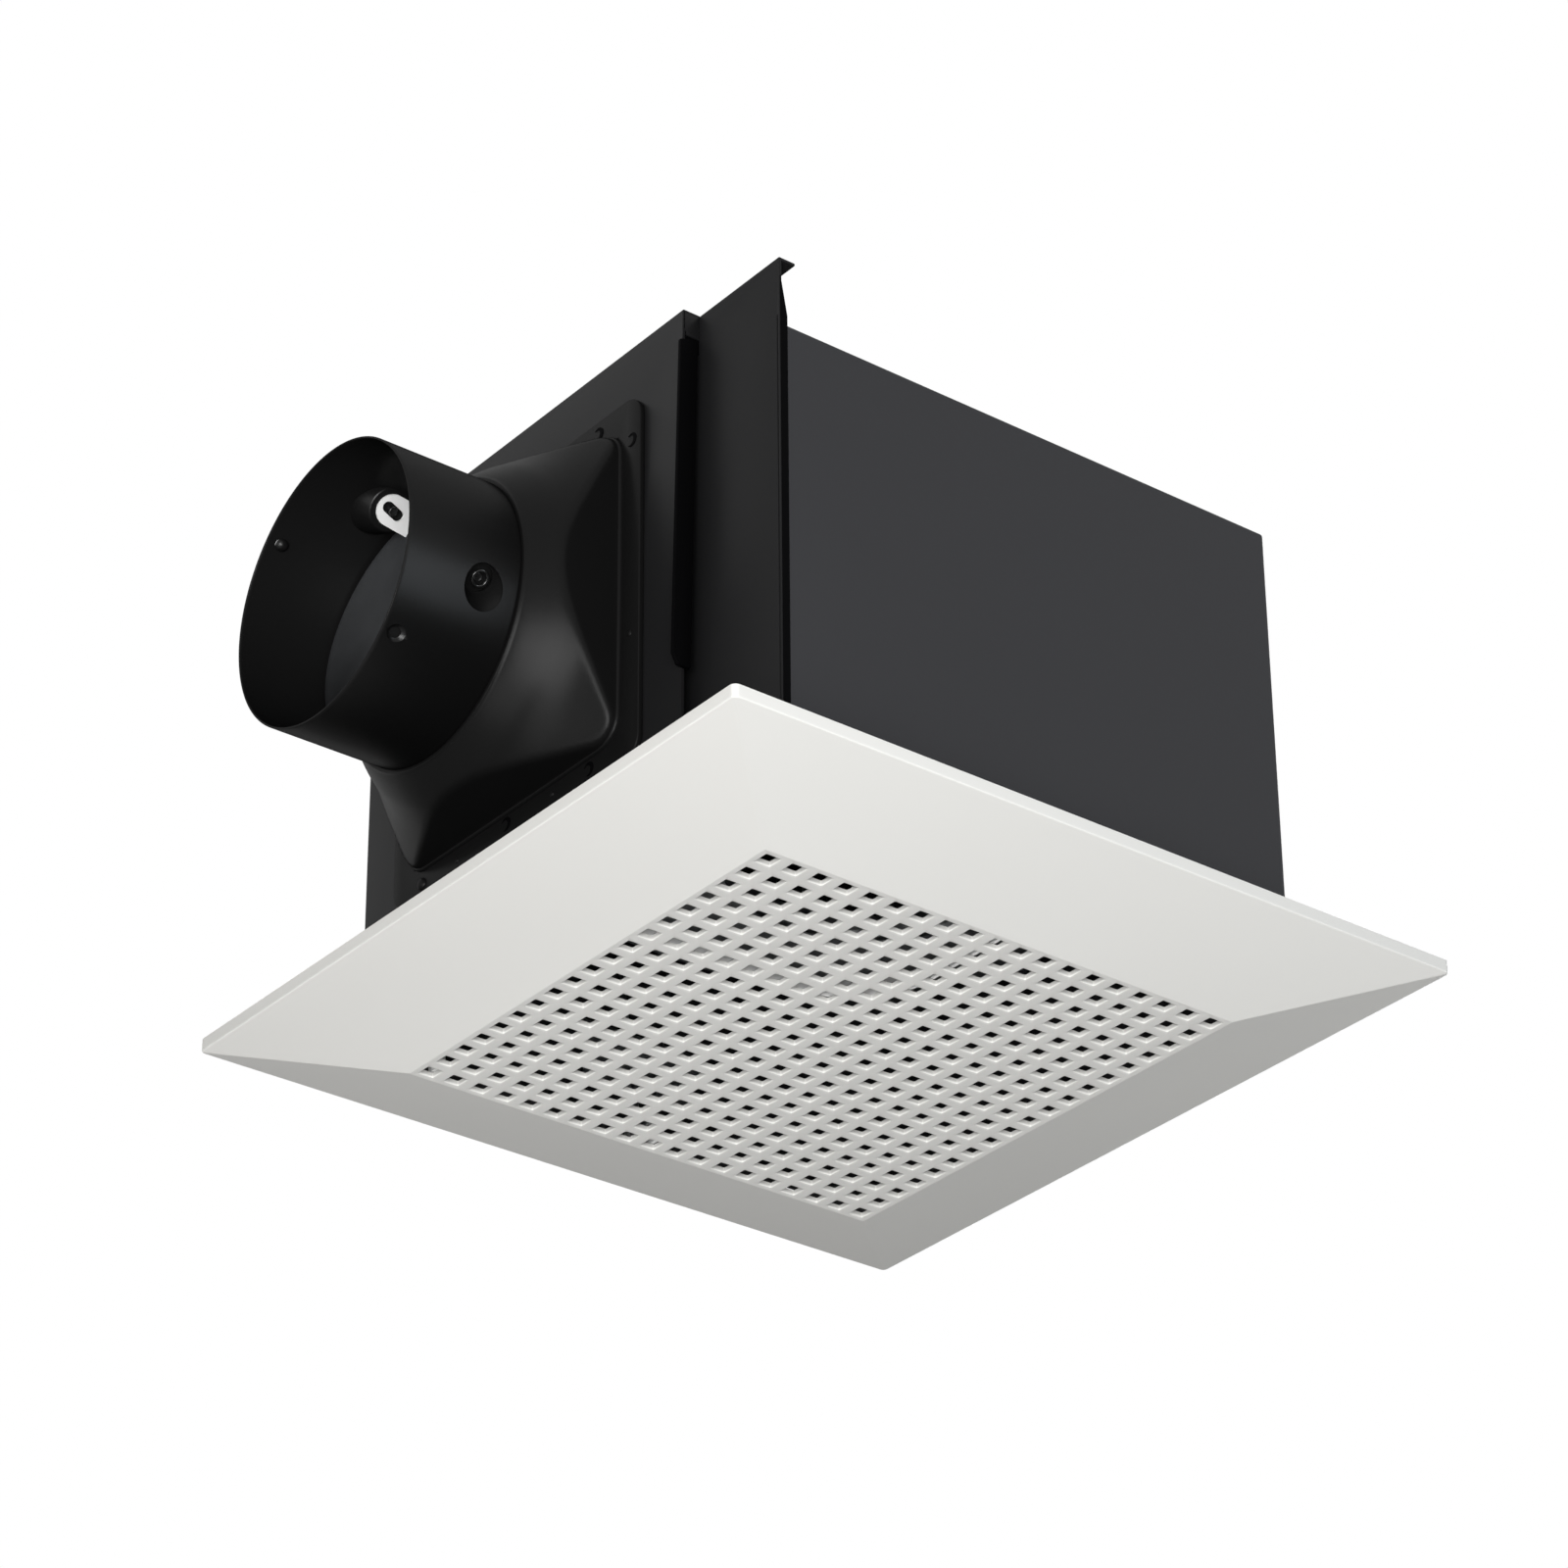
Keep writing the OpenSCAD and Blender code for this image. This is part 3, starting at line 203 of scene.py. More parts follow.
def add_round(name, radius, low, high, sides=64, ends="NGON", tip=None):
    """A cylinder or cone along Z between two heights, in millimetres."""
    clear_selection()
    bpy.ops.mesh.primitive_cone_add(
        vertices=sides, radius1=radius * MM, radius2=(radius if tip is None else tip) * MM,
        depth=(high - low) * MM, location=(0, 0, (low + high) / 2 * MM), end_fill_type=ends)
    return named(name)


def add_ball(name, radius, sides):
    """A ball about the origin, with its radius in millimetres."""
    clear_selection()
    bpy.ops.mesh.primitive_uv_sphere_add(segments=sides, ring_count=sides // 2, radius=radius * MM)
    return named(name)


def at(x, y, z):
    return Matrix.Translation(Vector((x, y, z)) * MM)


def turned(degrees, axis):
    return Matrix.Rotation(math.radians(degrees), 4, axis)


def duct_frame():
    """Z of this frame runs from the adapter plate out along the duct."""
    return at(PLATE, DUCT_Y, DUCT_Z) @ turned(-90, "Y")


def hinge_frame(opened=0):
    """Z of this frame runs along the hinge, Y points into the flap and X into the housing."""
    hinge = at(HINGE_X, DUCT_Y, DUCT_Z) @ turned(-HINGE_TILT, "X") @ at(0, -HINGE_OFFSET, 0)
    return hinge @ turned(opened, "Z")


def hinge_end(side):
    """The hinge frame with its Z towards one end of the hinge, at 0 degrees, or the other, at 180."""
    return hinge_frame() @ turned(side, "X")


def open_edit(piece, mode="FACE", action="DESELECT"):
    """Opens a piece for editing with nothing of it selected, or with all."""
    choose(piece)
    bpy.ops.object.mode_set(mode="EDIT")
    bpy.ops.mesh.select_mode(type=mode)
    bpy.ops.mesh.select_all(action=action)


def close_edit():
    bpy.ops.object.mode_set(mode="OBJECT")


def pick_faces(piece, test):
    """Selects the faces that pass a test on their middle, in millimetres, and their normal."""
    mesh = bmesh.from_edit_mesh(piece.data)
    for face in mesh.faces:
        face.select_set(test(face.calc_center_median() / MM, face.normal))
    mesh.select_flush_mode()
    bmesh.update_edit_mesh(piece.data)


def pick_edges(piece, test):
    """Selects the edges that pass a test on their two ends, in millimetres."""
    mesh = bmesh.from_edit_mesh(piece.data)
    for edge in mesh.edges:
        edge.select_set(test(edge.verts[0].co / MM, edge.verts[1].co / MM))
    mesh.select_flush_mode()
    bmesh.update_edit_mesh(piece.data)


def extrude(x, y, z):
    """Extrudes the selection by a step in metres."""
    bpy.ops.mesh.extrude_region_move(TRANSFORM_OT_translate={"value": (x, y, z)})


def widen(share, middle):
    """Scales the selection along X and Y about a place in metres."""
    bpy.ops.transform.resize(value=(share, share, 1), center_override=middle)


def bevel_edges(width, segments):
    """Bevels the selected edges, by a width in millimetres."""
    bpy.ops.mesh.bevel(offset=width * MM, segments=segments, affect="EDGES")


def round_uprights(piece, radius, segments, beyond=0):
    """Rounds the upright edges that stand beyond a distance along X, in millimetres."""
    open_edit(piece, "EDGE")
    pick_edges(piece, lambda a, b: abs(a.z - b.z) > 1 and min(abs(a.x), abs(b.x)) > beyond)
    bevel_edges(radius, segments)
    close_edit()


def drop_faces(piece, test):
    """Deletes the faces that pass a test."""
    open_edit(piece)
    pick_faces(piece, test)
    bpy.ops.mesh.delete(type="FACE")
    close_edit()


def slice_at(piece, place_mm, normal, drop=None):
    """Cuts a piece along a plane; drop is inner or outer to leave one half out."""
    open_edit(piece, action="SELECT")
    bpy.ops.mesh.bisect(
        plane_co=Vector(place_mm) * MM, plane_no=Vector(normal).normalized(), use_fill=drop is not None,
        clear_inner=drop == "inner", clear_outer=drop == "outer")
    close_edit()


def tidy_mesh(piece, closed=True):
    """Merges doubles, and turns the normals of a closed shape outwards."""
    open_edit(piece, action="SELECT")
    bpy.ops.mesh.remove_doubles(threshold=0.00001)
    if closed:
        bpy.ops.mesh.normals_make_consistent(inside=False)
    close_edit()


def modify(piece, kind, **settings):
    """Adds a modifier with its settings and applies it."""
    modifier = piece.modifiers.new("shape", kind)
    for name, value in settings.items():
        setattr(modifier, name, value)
    choose(piece)
    bpy.ops.object.modifier_apply(modifier=modifier.name)


def give_wall(piece, thickness):
    """Gives an open shell a wall that grows inwards from its normals, by a thickness in metres."""
    modify(piece, "SOLIDIFY", thickness=thickness, offset=-1, use_even_offset=True)


def round_edges(piece, width, segments=2, angle=30):
    """Bevels the edges that are sharper than an angle in degrees, by a width in millimetres."""
    modify(piece, "BEVEL", width=width * MM, segments=segments, limit_method="ANGLE",
           angle_limit=math.radians(angle))


def combine(piece, other, operation):
    """Boolean with another piece, which is then removed."""
    modify(piece, "BOOLEAN", operation=operation, solver="EXACT", object=other)
    bpy.data.objects.remove(other, do_unlink=True)
    return piece


def carve(piece, other):
    return combine(piece, other, "DIFFERENCE")


def weld(piece, other):
    return combine(piece, other, "UNION")


def carve_opening(piece, start, end, half):
    """Cuts a square opening about the duct axis between two places along X, in millimetres."""
    low = (start, DUCT_Y - half, DUCT_Z - half)
    high = (end, DUCT_Y + half, DUCT_Z + half)
    carve(piece, add_block("opening", low, high))


def join_pieces(name, pieces):
    """Joins pieces into one, without a boolean."""
    clear_selection()
    for piece in pieces:
        piece.select_set(True)
    bpy.context.view_layer.objects.active = pieces[0]
    bpy.ops.object.join()
    pieces[0].name = name
    return pieces[0]


def copy_piece(piece, name, matrix):
    """A copy with its own mesh, moved by a matrix."""
    twin = piece.copy()
    twin.data = piece.data.copy()
    twin.name = name
    twin.data.name = name
    bpy.context.collection.objects.link(twin)
    return place(twin, matrix)


def finish_piece(piece, body, material, replaces=(), angle=32):
    """Shades, paints and fastens a finished piece to its body."""
    choose(piece)
    bpy.ops.object.shade_smooth_by_angle(angle=math.radians(angle))
    piece.data.materials.clear()
    piece.data.materials.append(material)
    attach(piece, body)
    if replaces:
        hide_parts(*replaces)
    return piece


# Materials


def set_inputs(node, values):
    for label, value in values.items():
        node.inputs[label].default_value = value


def new_group(name, inputs, outputs):
    """A shader node group with float or colour sockets, ready to be filled."""
    group = bpy.data.node_groups.new(name, "ShaderNodeTree")
    for label, kind, default in inputs:
        socket = group.interface.new_socket(name=label, in_out="INPUT", socket_type=kind)
        socket.default_value = default
    for label, kind in outputs:
        group.interface.new_socket(name=label, in_out="OUTPUT", socket_type=kind)
    start = group.nodes.new("NodeGroupInput")
    end = group.nodes.new("NodeGroupOutput")
    return group, start, end


def add_math(tree, operation, first, second):
    """A Math node fed by sockets or plain numbers."""
    node = tree.nodes.new("ShaderNodeMath")
    node.operation = operation
    for index, value in enumerate((first, second)):
        if isinstance(value, (int, float)):
            node.inputs[index].default_value = value
        else:
            tree.links.new(value, node.inputs[index])
    return node.outputs[0]


def add_noise(tree, where, scale, detail, roughness):
    node = tree.nodes.new("ShaderNodeTexNoise")
    set_inputs(node, {"Detail": detail, "Roughness": roughness})
    tree.links.new(where, node.inputs["Vector"])
    tree.links.new(scale, node.inputs["Scale"])
    return node.outputs["Fac"]


def scale_colour(tree, colour, factor):
    """A colour socket times a value socket."""
    node = tree.nodes.new("ShaderNodeVectorMath")
    node.operation = "SCALE"
    tree.links.new(colour, node.inputs[0])
    tree.links.new(factor, node.inputs["Scale"])
    return node.outputs[0]


def surface_group():
    """Grain and slow blotches: a height for a bump, a shade around one and a roughness offset."""
    name = "fan_surface"
    if name in bpy.data.node_groups:
        return bpy.data.node_groups[name]
    group, start, end = new_group(
        name,
        [("Grain Scale", "NodeSocketFloat", 2500.0), ("Blotch Scale", "NodeSocketFloat", 18.0),
         ("Blotch", "NodeSocketFloat", 0.05), ("Base Color", "NodeSocketColor", (0.5, 0.5, 0.5, 1.0)),
         ("Roughness", "NodeSocketFloat", 0.5)],
        [("Color", "NodeSocketColor"), ("Roughness", "NodeSocketFloat"), ("Height", "NodeSocketFloat")])
    where = group.nodes.new("ShaderNodeTexCoord").outputs["Object"]
    grain = add_noise(group, where, start.outputs["Grain Scale"], 3.0, 0.6)
    blotch = add_noise(group, where, start.outputs["Blotch Scale"], 2.0, 0.5)
    centred = add_math(group, "SUBTRACT", blotch, 0.5)
    swing = add_math(group, "MULTIPLY", centred, start.outputs["Blotch"])
    shade = add_math(group, "ADD", add_math(group, "MULTIPLY", swing, 2.0), 1.0)
    rough = add_math(group, "ADD", start.outputs["Roughness"], swing)
    group.links.new(scale_colour(group, start.outputs["Base Color"], shade), end.inputs["Color"])
    group.links.new(rough, end.inputs["Roughness"])
    group.links.new(grain, end.inputs["Height"])
    return group


def place_tint_group():
    """Scales a colour by a factor that goes smoothly from low to high between two places."""
    name = "fan_place_tint"
    if name in bpy.data.node_groups:
        return bpy.data.node_groups[name]
    group, start, end = new_group(
        name,
        [("Color", "NodeSocketColor", (0.5, 0.5, 0.5, 1.0)), ("Place", "NodeSocketFloat", 0.0),
         ("Start", "NodeSocketFloat", 0.0), ("End", "NodeSocketFloat", 1.0),
         ("Low", "NodeSocketFloat", 0.5), ("High", "NodeSocketFloat", 1.0)],
        [("Color", "NodeSocketColor")])
    ramp = group.nodes.new("ShaderNodeMapRange")
    ramp.interpolation_type = "SMOOTHSTEP"
    for label, source in (("Value", "Place"), ("From Min", "Start"), ("From Max", "End"),
                          ("To Min", "Low"), ("To Max", "High")):
        group.links.new(start.outputs[source], ramp.inputs[label])
    tinted = scale_colour(group, start.outputs["Color"], ramp.outputs["Result"])
    group.links.new(tinted, end.inputs["Color"])
    return group


def place_socket(tree, axis):
    """The place in the object along X, Y or Z, or for R the square of the distance from the duct axis."""
    where = tree.nodes.new("ShaderNodeTexCoord").outputs["Object"]
    parts = tree.nodes.new("ShaderNodeSeparateXYZ")
    tree.links.new(where, parts.inputs[0])
    if axis != "R":
        return parts.outputs[axis]
    squares = []
    for label, middle in (("Y", DUCT_Y), ("Z", DUCT_Z)):
        away = add_math(tree, "SUBTRACT", parts.outputs[label], middle * MM)
        squares.append(add_math(tree, "MULTIPLY", away, away))
    return add_math(tree, "ADD", *squares)


def tint_by_place(tree, axis, start, low, end, high):
    """Scales the base colour by a factor that is low before the start and high past the end of an axis."""
    tint = tree.nodes.new("ShaderNodeGroup")
    tint.node_tree = place_tint_group()
    set_inputs(tint, {"Start": start, "End": end, "Low": low, "High": high})
    base = tree.nodes["Principled BSDF"].inputs["Base Color"]
    tree.links.new(base.links[0].from_socket, tint.inputs["Color"])
    tree.links.new(place_socket(tree, axis), tint.inputs["Place"])
    tree.links.new(tint.outputs["Color"], base)


def make_finish(name, colour, roughness, metallic=0.0, specular=0.5, grain=2500.0, bump=0.02,
                blotch=0.05, blotch_scale=18.0, edge=0.0, fade=0.0, tints=()):
    """A finish with grain, slow blotches and a plain shader, made once for each name.

    Edge is the share of the gloss that is lost at a low angle, though a quarter always stays. Fade is the
    power by which the gloss falls from the middle of a round surface to its outline. Each tint paints light
    or shade into the colour: an axis, a start in metres with its factor, and an end with its factor.
    """
    name = f"fan_{name}"
    if name in bpy.data.materials:
        return bpy.data.materials[name]
    material = bpy.data.materials.new(name)
    material.use_nodes = True
    tree = material.node_tree
    shader = tree.nodes["Principled BSDF"]
    gloss = shader.inputs["Specular IOR Level"]
    set_inputs(shader, {"Metallic": metallic, "Specular IOR Level": specular})
    surface = tree.nodes.new("ShaderNodeGroup")
    surface.node_tree = surface_group()
    set_inputs(surface, {"Grain Scale": grain, "Blotch Scale": blotch_scale, "Blotch": blotch,
                         "Base Color": (*colour, 1.0), "Roughness": roughness})
    tree.links.new(surface.outputs["Color"], shader.inputs["Base Color"])
    tree.links.new(surface.outputs["Roughness"], shader.inputs["Roughness"])
    relief = tree.nodes.new("ShaderNodeBump")
    set_inputs(relief, {"Strength": bump, "Distance": 0.0005})
    tree.links.new(surface.outputs["Height"], relief.inputs["Height"])
    tree.links.new(relief.outputs["Normal"], shader.inputs["Normal"])
    if edge or fade:
        facing = tree.nodes.new("ShaderNodeLayerWeight").outputs["Facing"]
    if edge:
        loss = add_math(tree, "MULTIPLY", add_math(tree, "POWER", facing, 2.0), edge * specular)
        rest = add_math(tree, "MAXIMUM", add_math(tree, "SUBTRACT", specular, loss), 0.25 * specular)
        tree.links.new(rest, gloss)
    if fade:
        share = add_math(tree, "POWER", add_math(tree, "SUBTRACT", 1.0, facing), fade)
        tree.links.new(add_math(tree, "MULTIPLY", share, specular), gloss)
    for tint in tints:
        tint_by_place(tree, *tint)
    return material


def border_moulding():
    """The grille's white, a little greyer on the upright rim of the duct side and the near side, which is
    painted shade.
    """
    outside, inside = (0.05 - RIM) * MM, (0.4 - RIM) * MM
    return make_finish("border_plastic", colours().grille_white, 0.45, specular=0.2, grain=1600,
                       bump=0.03, blotch=0.012, blotch_scale=9, edge=1.7,
                       tints=[("X", outside, 0.8, inside, 1.0), ("Y", outside, 0.91, inside, 1.0)])


def lattice_moulding():
    """The grille's white, darker on the walls of the holes as painted shade."""
    start, end = (GRILLE_FACE + 0.1) * MM, (GRILLE_FACE + 0.9) * MM
    return make_finish("lattice_plastic", colours().grille_white, 0.45, specular=0.2, grain=1600,
                       bump=0.03, blotch=0.03, blotch_scale=60, edge=1.7,
                       tints=[("Z", start, 1.0, end, 0.74)])


def dark_paint():
    return make_finish("housing_paint", colours().housing_grey, 0.5, specular=0.08, grain=1800, bump=0.08,
                       blotch=0.05, blotch_scale=14)


# A darker copy of the housing's grey: painted shade on the duct side of the box.
def plate_shaded_paint():
    return make_finish("plate_shaded_paint", colours().plate_shaded_grey, 0.42, specular=0.10, grain=1800, bump=0.06,
                       blotch=0.04, blotch_scale=12, edge=0.9)


def black_moulding():
    return make_finish("adapter_plastic", colours().flare_black, 0.32, specular=0.09, grain=2200,
                       bump=0.05, blotch=0.05, blotch_scale=22, fade=1.5)


def spigot_plastic():
    """The adapter's moulding, made paler inside its bore as painted light."""
    outer, inner = (SPIGOT_R - 0.1) * MM, (SPIGOT_R - 0.9) * MM
    return make_finish("spigot_plastic", colours().moulding_black, 0.31, specular=0.27, grain=2200,
                       bump=0.05, blotch=0.05, blotch_scale=22, fade=3.0,
                       tints=[("R", inner * inner, 1.7, outer * outer, 1.0)])


# Near-black for the strip beside the plate and for the seams, and painted shade on the wall's laps, behind
# the plate's near edge and in the flange's crescents.
def matte_black_and_shade():
    return make_finish("strip_black", colours().strip_black, 0.7, specular=0.02, grain=1500, bump=0.1)


def pin_steel():
    return make_finish("pin_steel", colours().pin_black, 0.16, specular=0.9, grain=1500, bump=0.01)


def flap_sheet():
    """Satin sheet, darker towards its low end as painted shade."""
    return make_finish("flap_metal", colours().flap_grey, 0.42, metallic=0.3, specular=0.3, grain=900,
                       bump=0.03, blotch=0.25, blotch_scale=60, tints=[("Z", 0.068, 0.12, 0.14, 1.0)])


# A near-white that is not metal paints the glint of the flap's bright ears.
def bright_steel():
    return make_finish("ear_glint_white", colours().ear_glint_white, 0.35, grain=1500, bump=0.03)


# Finishes of the CAD nodes that stay as they are: colour, roughness, metallic and specular by slot
SLOT_FINISHES = {
    "housing_paint": ((0.050, 0.050, 0.053), 0.5, 0.0, 0.12),
    "gasket_foam": ((0.010, 0.010, 0.010), 0.9, 0.0, 0.1),
    "bright_steel": ((0.60, 0.60, 0.61), 0.3, 1.0, 0.5),
    "black_screws": ((0.02, 0.02, 0.021), 0.4, 0.3, 0.3),
    "galvanised_sheet": ((0.40, 0.41, 0.42), 0.42, 0.9, 0.5),
    "black_rubber": ((0.012, 0.012, 0.012), 0.75, 0.0, 0.2),
    "motor_steel": ((0.45, 0.45, 0.46), 0.35, 0.9, 0.5),
    "core_steel": ((0.20, 0.20, 0.21), 0.5, 0.8, 0.5),
    "copper_winding": ((0.45, 0.15, 0.05), 0.35, 0.8, 0.5),
    "bearing_steel": ((0.60, 0.60, 0.61), 0.2, 1.0, 0.5),
    "wheel_plastic": ((0.018, 0.018, 0.020), 0.5, 0.0, 0.2),
    "capacitor_can": ((0.70, 0.70, 0.68), 0.35, 0.0, 0.4),
    "terminal_plastic": ((0.70, 0.68, 0.60), 0.5, 0.0, 0.4),
    "brass_screws": ((0.60, 0.42, 0.14), 0.3, 1.0, 0.5),
    "earth_green": ((0.08, 0.28, 0.07), 0.35, 0.4, 0.5),
    "lead_sheath": ((0.012, 0.012, 0.013), 0.5, 0.0, 0.3),
    "spring_wire": ((0.55, 0.55, 0.56), 0.3, 1.0, 0.5),
    "grille_plastic": ((0.80, 0.80, 0.79), 0.42, 0.0, 0.3),
}


class FAN_OT_frame_finishes(bpy.types.Operator):
    """Give the nodes of the frame that still show the finish of their material slot"""

    bl_idname = "fan.frame_finishes"
    bl_label = "Frame Finishes"

    def execute(self, context):
        slots = {part["node"]: part["material_slot"] for part in frame["record"]["subparts"]}
        for node, part in frame["nodes"].items():
            if part.hide_render:
                continue
            colour, roughness, metallic, specular = SLOT_FINISHES[slots[node]]
            material = make_finish(slots[node], colour, roughness, metallic=metallic, specular=specular)
            part.data.materials.clear()
            part.data.materials.append(material)
        return {"FINISHED"}


# Grille

# Roundings of the rim's corners and edges, and of a lattice hole's corners and mouth, in millimetres
RIM_CORNER = 2.2
RIM_EDGE = 0.4
HOLE_CORNER = 0.5
HOLE_EDGE = 0.15


class FAN_OT_grille_border(bpy.types.Operator):
    """Model the white border: an upright rim and four slopes that meet in mitres"""

    bl_idname = "fan.grille_border"
    bl_label = "Grille Border"

    def execute(self, context):
        size = sizes()
        clear_selection()
        bpy.ops.mesh.primitive_plane_add(size=2 * RIM * MM, location=(0, 0, 0))
        border = named("grille_border")
        open_edit(border, action="SELECT")
        extrude(0, 0, -size.rim_height)
        extrude(0, 0, GRILLE_FACE * MM + size.rim_height)
        widen(LATTICE / RIM, (0, 0, GRILLE_FACE * MM))
        close_edit()
        tidy_mesh(border)
        drop_faces(border, lambda middle, normal: abs(normal.z) > 0.99)
        round_uprights(border, RIM_CORNER, 4, RIM - 1)
        round_edges(border, RIM_EDGE, 3, 12)
        give_wall(border, size.grille_wall)
        finish_piece(border, "grille", border_moulding(), ["grille_frame"], 12)
        return {"FINISHED"}


def hole_outline(middle, side, height):
    """A test for the edges around a square hole at a height, in millimetres."""
    reach = side / 2 + 0.05

    def on_outline(*ends):
        return all(abs(end.z - height) < 0.01 and max(abs(end.x - middle), abs(end.y - middle)) < reach
                   for end in ends)

    return on_outline


class FAN_OT_grille_lattice(bpy.types.Operator):
    """Model one tapered lattice hole and repeat it over the square"""

    bl_idname = "fan.grille_lattice"
    bl_label = "Grille Lattice"

    def execute(self, context):
        size = sizes()
        pitch = size.hole_pitch
        first = -LATTICE * MM + pitch / 2
        face = GRILLE_FACE * MM
        back = face + size.lattice_depth
        clear_selection()
        bpy.ops.mesh.primitive_plane_add(size=pitch, location=(first, first, face))
        lattice = named("grille_lattice_holes")
        open_edit(lattice, action="SELECT")
        bpy.ops.mesh.flip_normals()
        bpy.ops.mesh.inset(thickness=(pitch - size.hole_mouth) / 2)
        extrude(0, 0, size.lattice_depth)
        widen(size.hole_throat / size.hole_mouth, (first, first, back))
        bpy.ops.mesh.delete(type="FACE")
        bpy.ops.mesh.select_mode(type="EDGE")
        pick_edges(lattice, lambda a, b: abs(a.z - b.z) > 0.5)
        bevel_edges(HOLE_CORNER, 2)
        pick_edges(lattice, hole_outline(first / MM, size.hole_mouth / MM, face / MM))
        bevel_edges(HOLE_EDGE, 2)
        # the back of the lattice grows from the throat to the edge of its cell
        pick_edges(lattice, hole_outline(first / MM, size.hole_throat / MM, back / MM))
        extrude(0, 0, 0)
        widen(pitch / size.hole_throat, (first, first, back))
        close_edit()
        count = round(2 * LATTICE * MM / pitch)
        for direction in ((pitch, 0, 0), (0, pitch, 0)):
            modify(lattice, "ARRAY", use_relative_offset=False, use_constant_offset=True,
                   constant_offset_displace=direction, count=count, use_merge_vertices=True,
                   merge_threshold=0.00002)
        tidy_mesh(lattice, closed=False)
        finish_piece(lattice, "grille", lattice_moulding(), ["grille_lattice"], 40)
        return {"FINISHED"}


# Housing, in millimetres

BOX_START = WALL + 3.2
CABLE_HOLE_R = 8
GROMMET_R = 10.5

# Three long beads on the top: their middles, their two ends, half their width and their height
BEAD_ROWS = (-72, 0, 72)
BEAD_ENDS = (-62, 78)
BEAD_HALF = 3.5
BEAD_HEIGHT = 0.9

# Spot welds: places along the box, places up its end, distance in from its sides, and up its far side
WELD_COLUMNS = (-78, -38, 2, 42, 82)
WELD_ROWS = (20, 55, 90, 125, 155)
WELD_INSET = 7
WELD_FOOT = 14
WELD_SUNK = 0.05

# Seams: distance in from the sides, half their width, which is also their height, and their depth
SEAM_INSET = 14
SEAM_HALF = 0.25
SEAM_SUNK = 0.3


class FAN_OT_housing_box(bpy.types.Operator):
    """Model the folded sheet box above the ceiling"""

    bl_idname = "fan.housing_box"
    bl_label = "Housing Box"

    def execute(self, context):
        box = add_block("housing_box", (BOX_START, -BOX_SIDE, BOX_FOOT), (BOX_END, BOX_SIDE, BOX_TOP))
        drop_faces(box, lambda middle, normal: normal.x < -0.9 or normal.z < -0.9)
        round_edges(box, 1.3, 4)
        give_wall(box, sizes().sheet)
        cable = add_round("cable_hole", CABLE_HOLE_R, -4, 4, 48)
        hole = node_low("cable_grommet")
        place(cable, at(BOX_END, hole.y + GROMMET_R, hole.z + GROMMET_R) @ turned(90, "Y"))
        carve(box, cable)
        finish_piece(box, "housing", dark_paint(),
                     ["housing_top", "housing_near_side", "housing_far_side", "housing_back"])
        return {"FINISHED"}


class FAN_OT_housing_beads(bpy.types.Operator):
    """Model the pressed beads on the box's top"""

    bl_idname = "fan.housing_beads"
    bl_label = "Housing Beads"

    def execute(self, context):
        beads = []
        for y in BEAD_ROWS:
            low = (BEAD_ENDS[0], y - BEAD_HALF, BOX_TOP - 0.4)
            high = (BEAD_ENDS[1], y + BEAD_HALF, BOX_TOP + BEAD_HEIGHT)
            bead = add_block("bead", low, high)
            round_uprights(bead, BEAD_HALF - 0.1, 8)
            round_edges(bead, 0.7, 3, 60)
            beads.append(bead)
        finish_piece(join_pieces("housing_beads", beads), "housing", dark_paint())
        return {"FINISHED"}


class FAN_OT_housing_spot_welds(bpy.types.Operator):
    """Model one spot weld and copy it along the box's edges"""

    bl_idname = "fan.housing_spot_welds"
    bl_label = "Housing Spot Welds"

    def execute(self, context):
        across = BOX_SIDE - WELD_INSET
        places = []
        for x in WELD_COLUMNS:
            places.append(at(x, -across, BOX_TOP - WELD_SUNK))
            places.append(at(x, across, BOX_TOP - WELD_SUNK))
            places.append(at(x, BOX_SIDE - WELD_SUNK, WELD_FOOT) @ turned(-90, "X"))
        for z in WELD_ROWS:
            places.append(at(BOX_END - WELD_SUNK, -across, z) @ turned(90, "Y"))
            places.append(at(BOX_END - WELD_SUNK, across, z) @ turned(90, "Y"))
        spot = add_round("spot_weld", 2.2, 0, 0.35, 20, tip=1.6)
        spots = [copy_piece(spot, "spot", where) for where in places]
        bpy.data.objects.remove(spot, do_unlink=True)
        finish_piece(join_pieces("housing_spot_welds", spots), "housing", dark_paint())
        return {"FINISHED"}


class FAN_OT_housing_seams(bpy.types.Operator):
    """Model the folded seams along the box's top and down its end"""

    bl_idname = "fan.housing_seams"
    bl_label = "Housing Seams"

    def execute(self, context):
        seams = []
        for hand in (-1, 1):
            y = hand * (BOX_SIDE - SEAM_INSET)
            low, high = y - SEAM_HALF, y + SEAM_HALF
            seams.append(add_block("seam", (BOX_START + 4, low, BOX_TOP - SEAM_SUNK),
                                   (BOX_END - SEAM_INSET, high, BOX_TOP + SEAM_HALF)))
            seams.append(add_block("seam", (BOX_END - SEAM_SUNK, low, BOX_FOOT + 3),
                                   (BOX_END + SEAM_HALF, high, BOX_TOP - 3)))
        finish_piece(join_pieces("housing_seams", seams), "housing", matte_black_and_shade())
        return {"FINISHED"}


# Duct wall and adapter plate, in millimetres: their sheet, half their openings, and the wall's edge groove
WALL_SHEET = 1
WALL_OPENING = 55.3
PLATE_OPENING = 54
GROOVE_INSET = 1.15
GROOVE_TOP = 171

# The plate's near tab above the tapered strip, and that strip: heights, and reach either way of the plate
TAB_FOOT = 183.5
STRIP_TOP = 182
STRIP_OUT = -4.5
STRIP_IN = 5.2


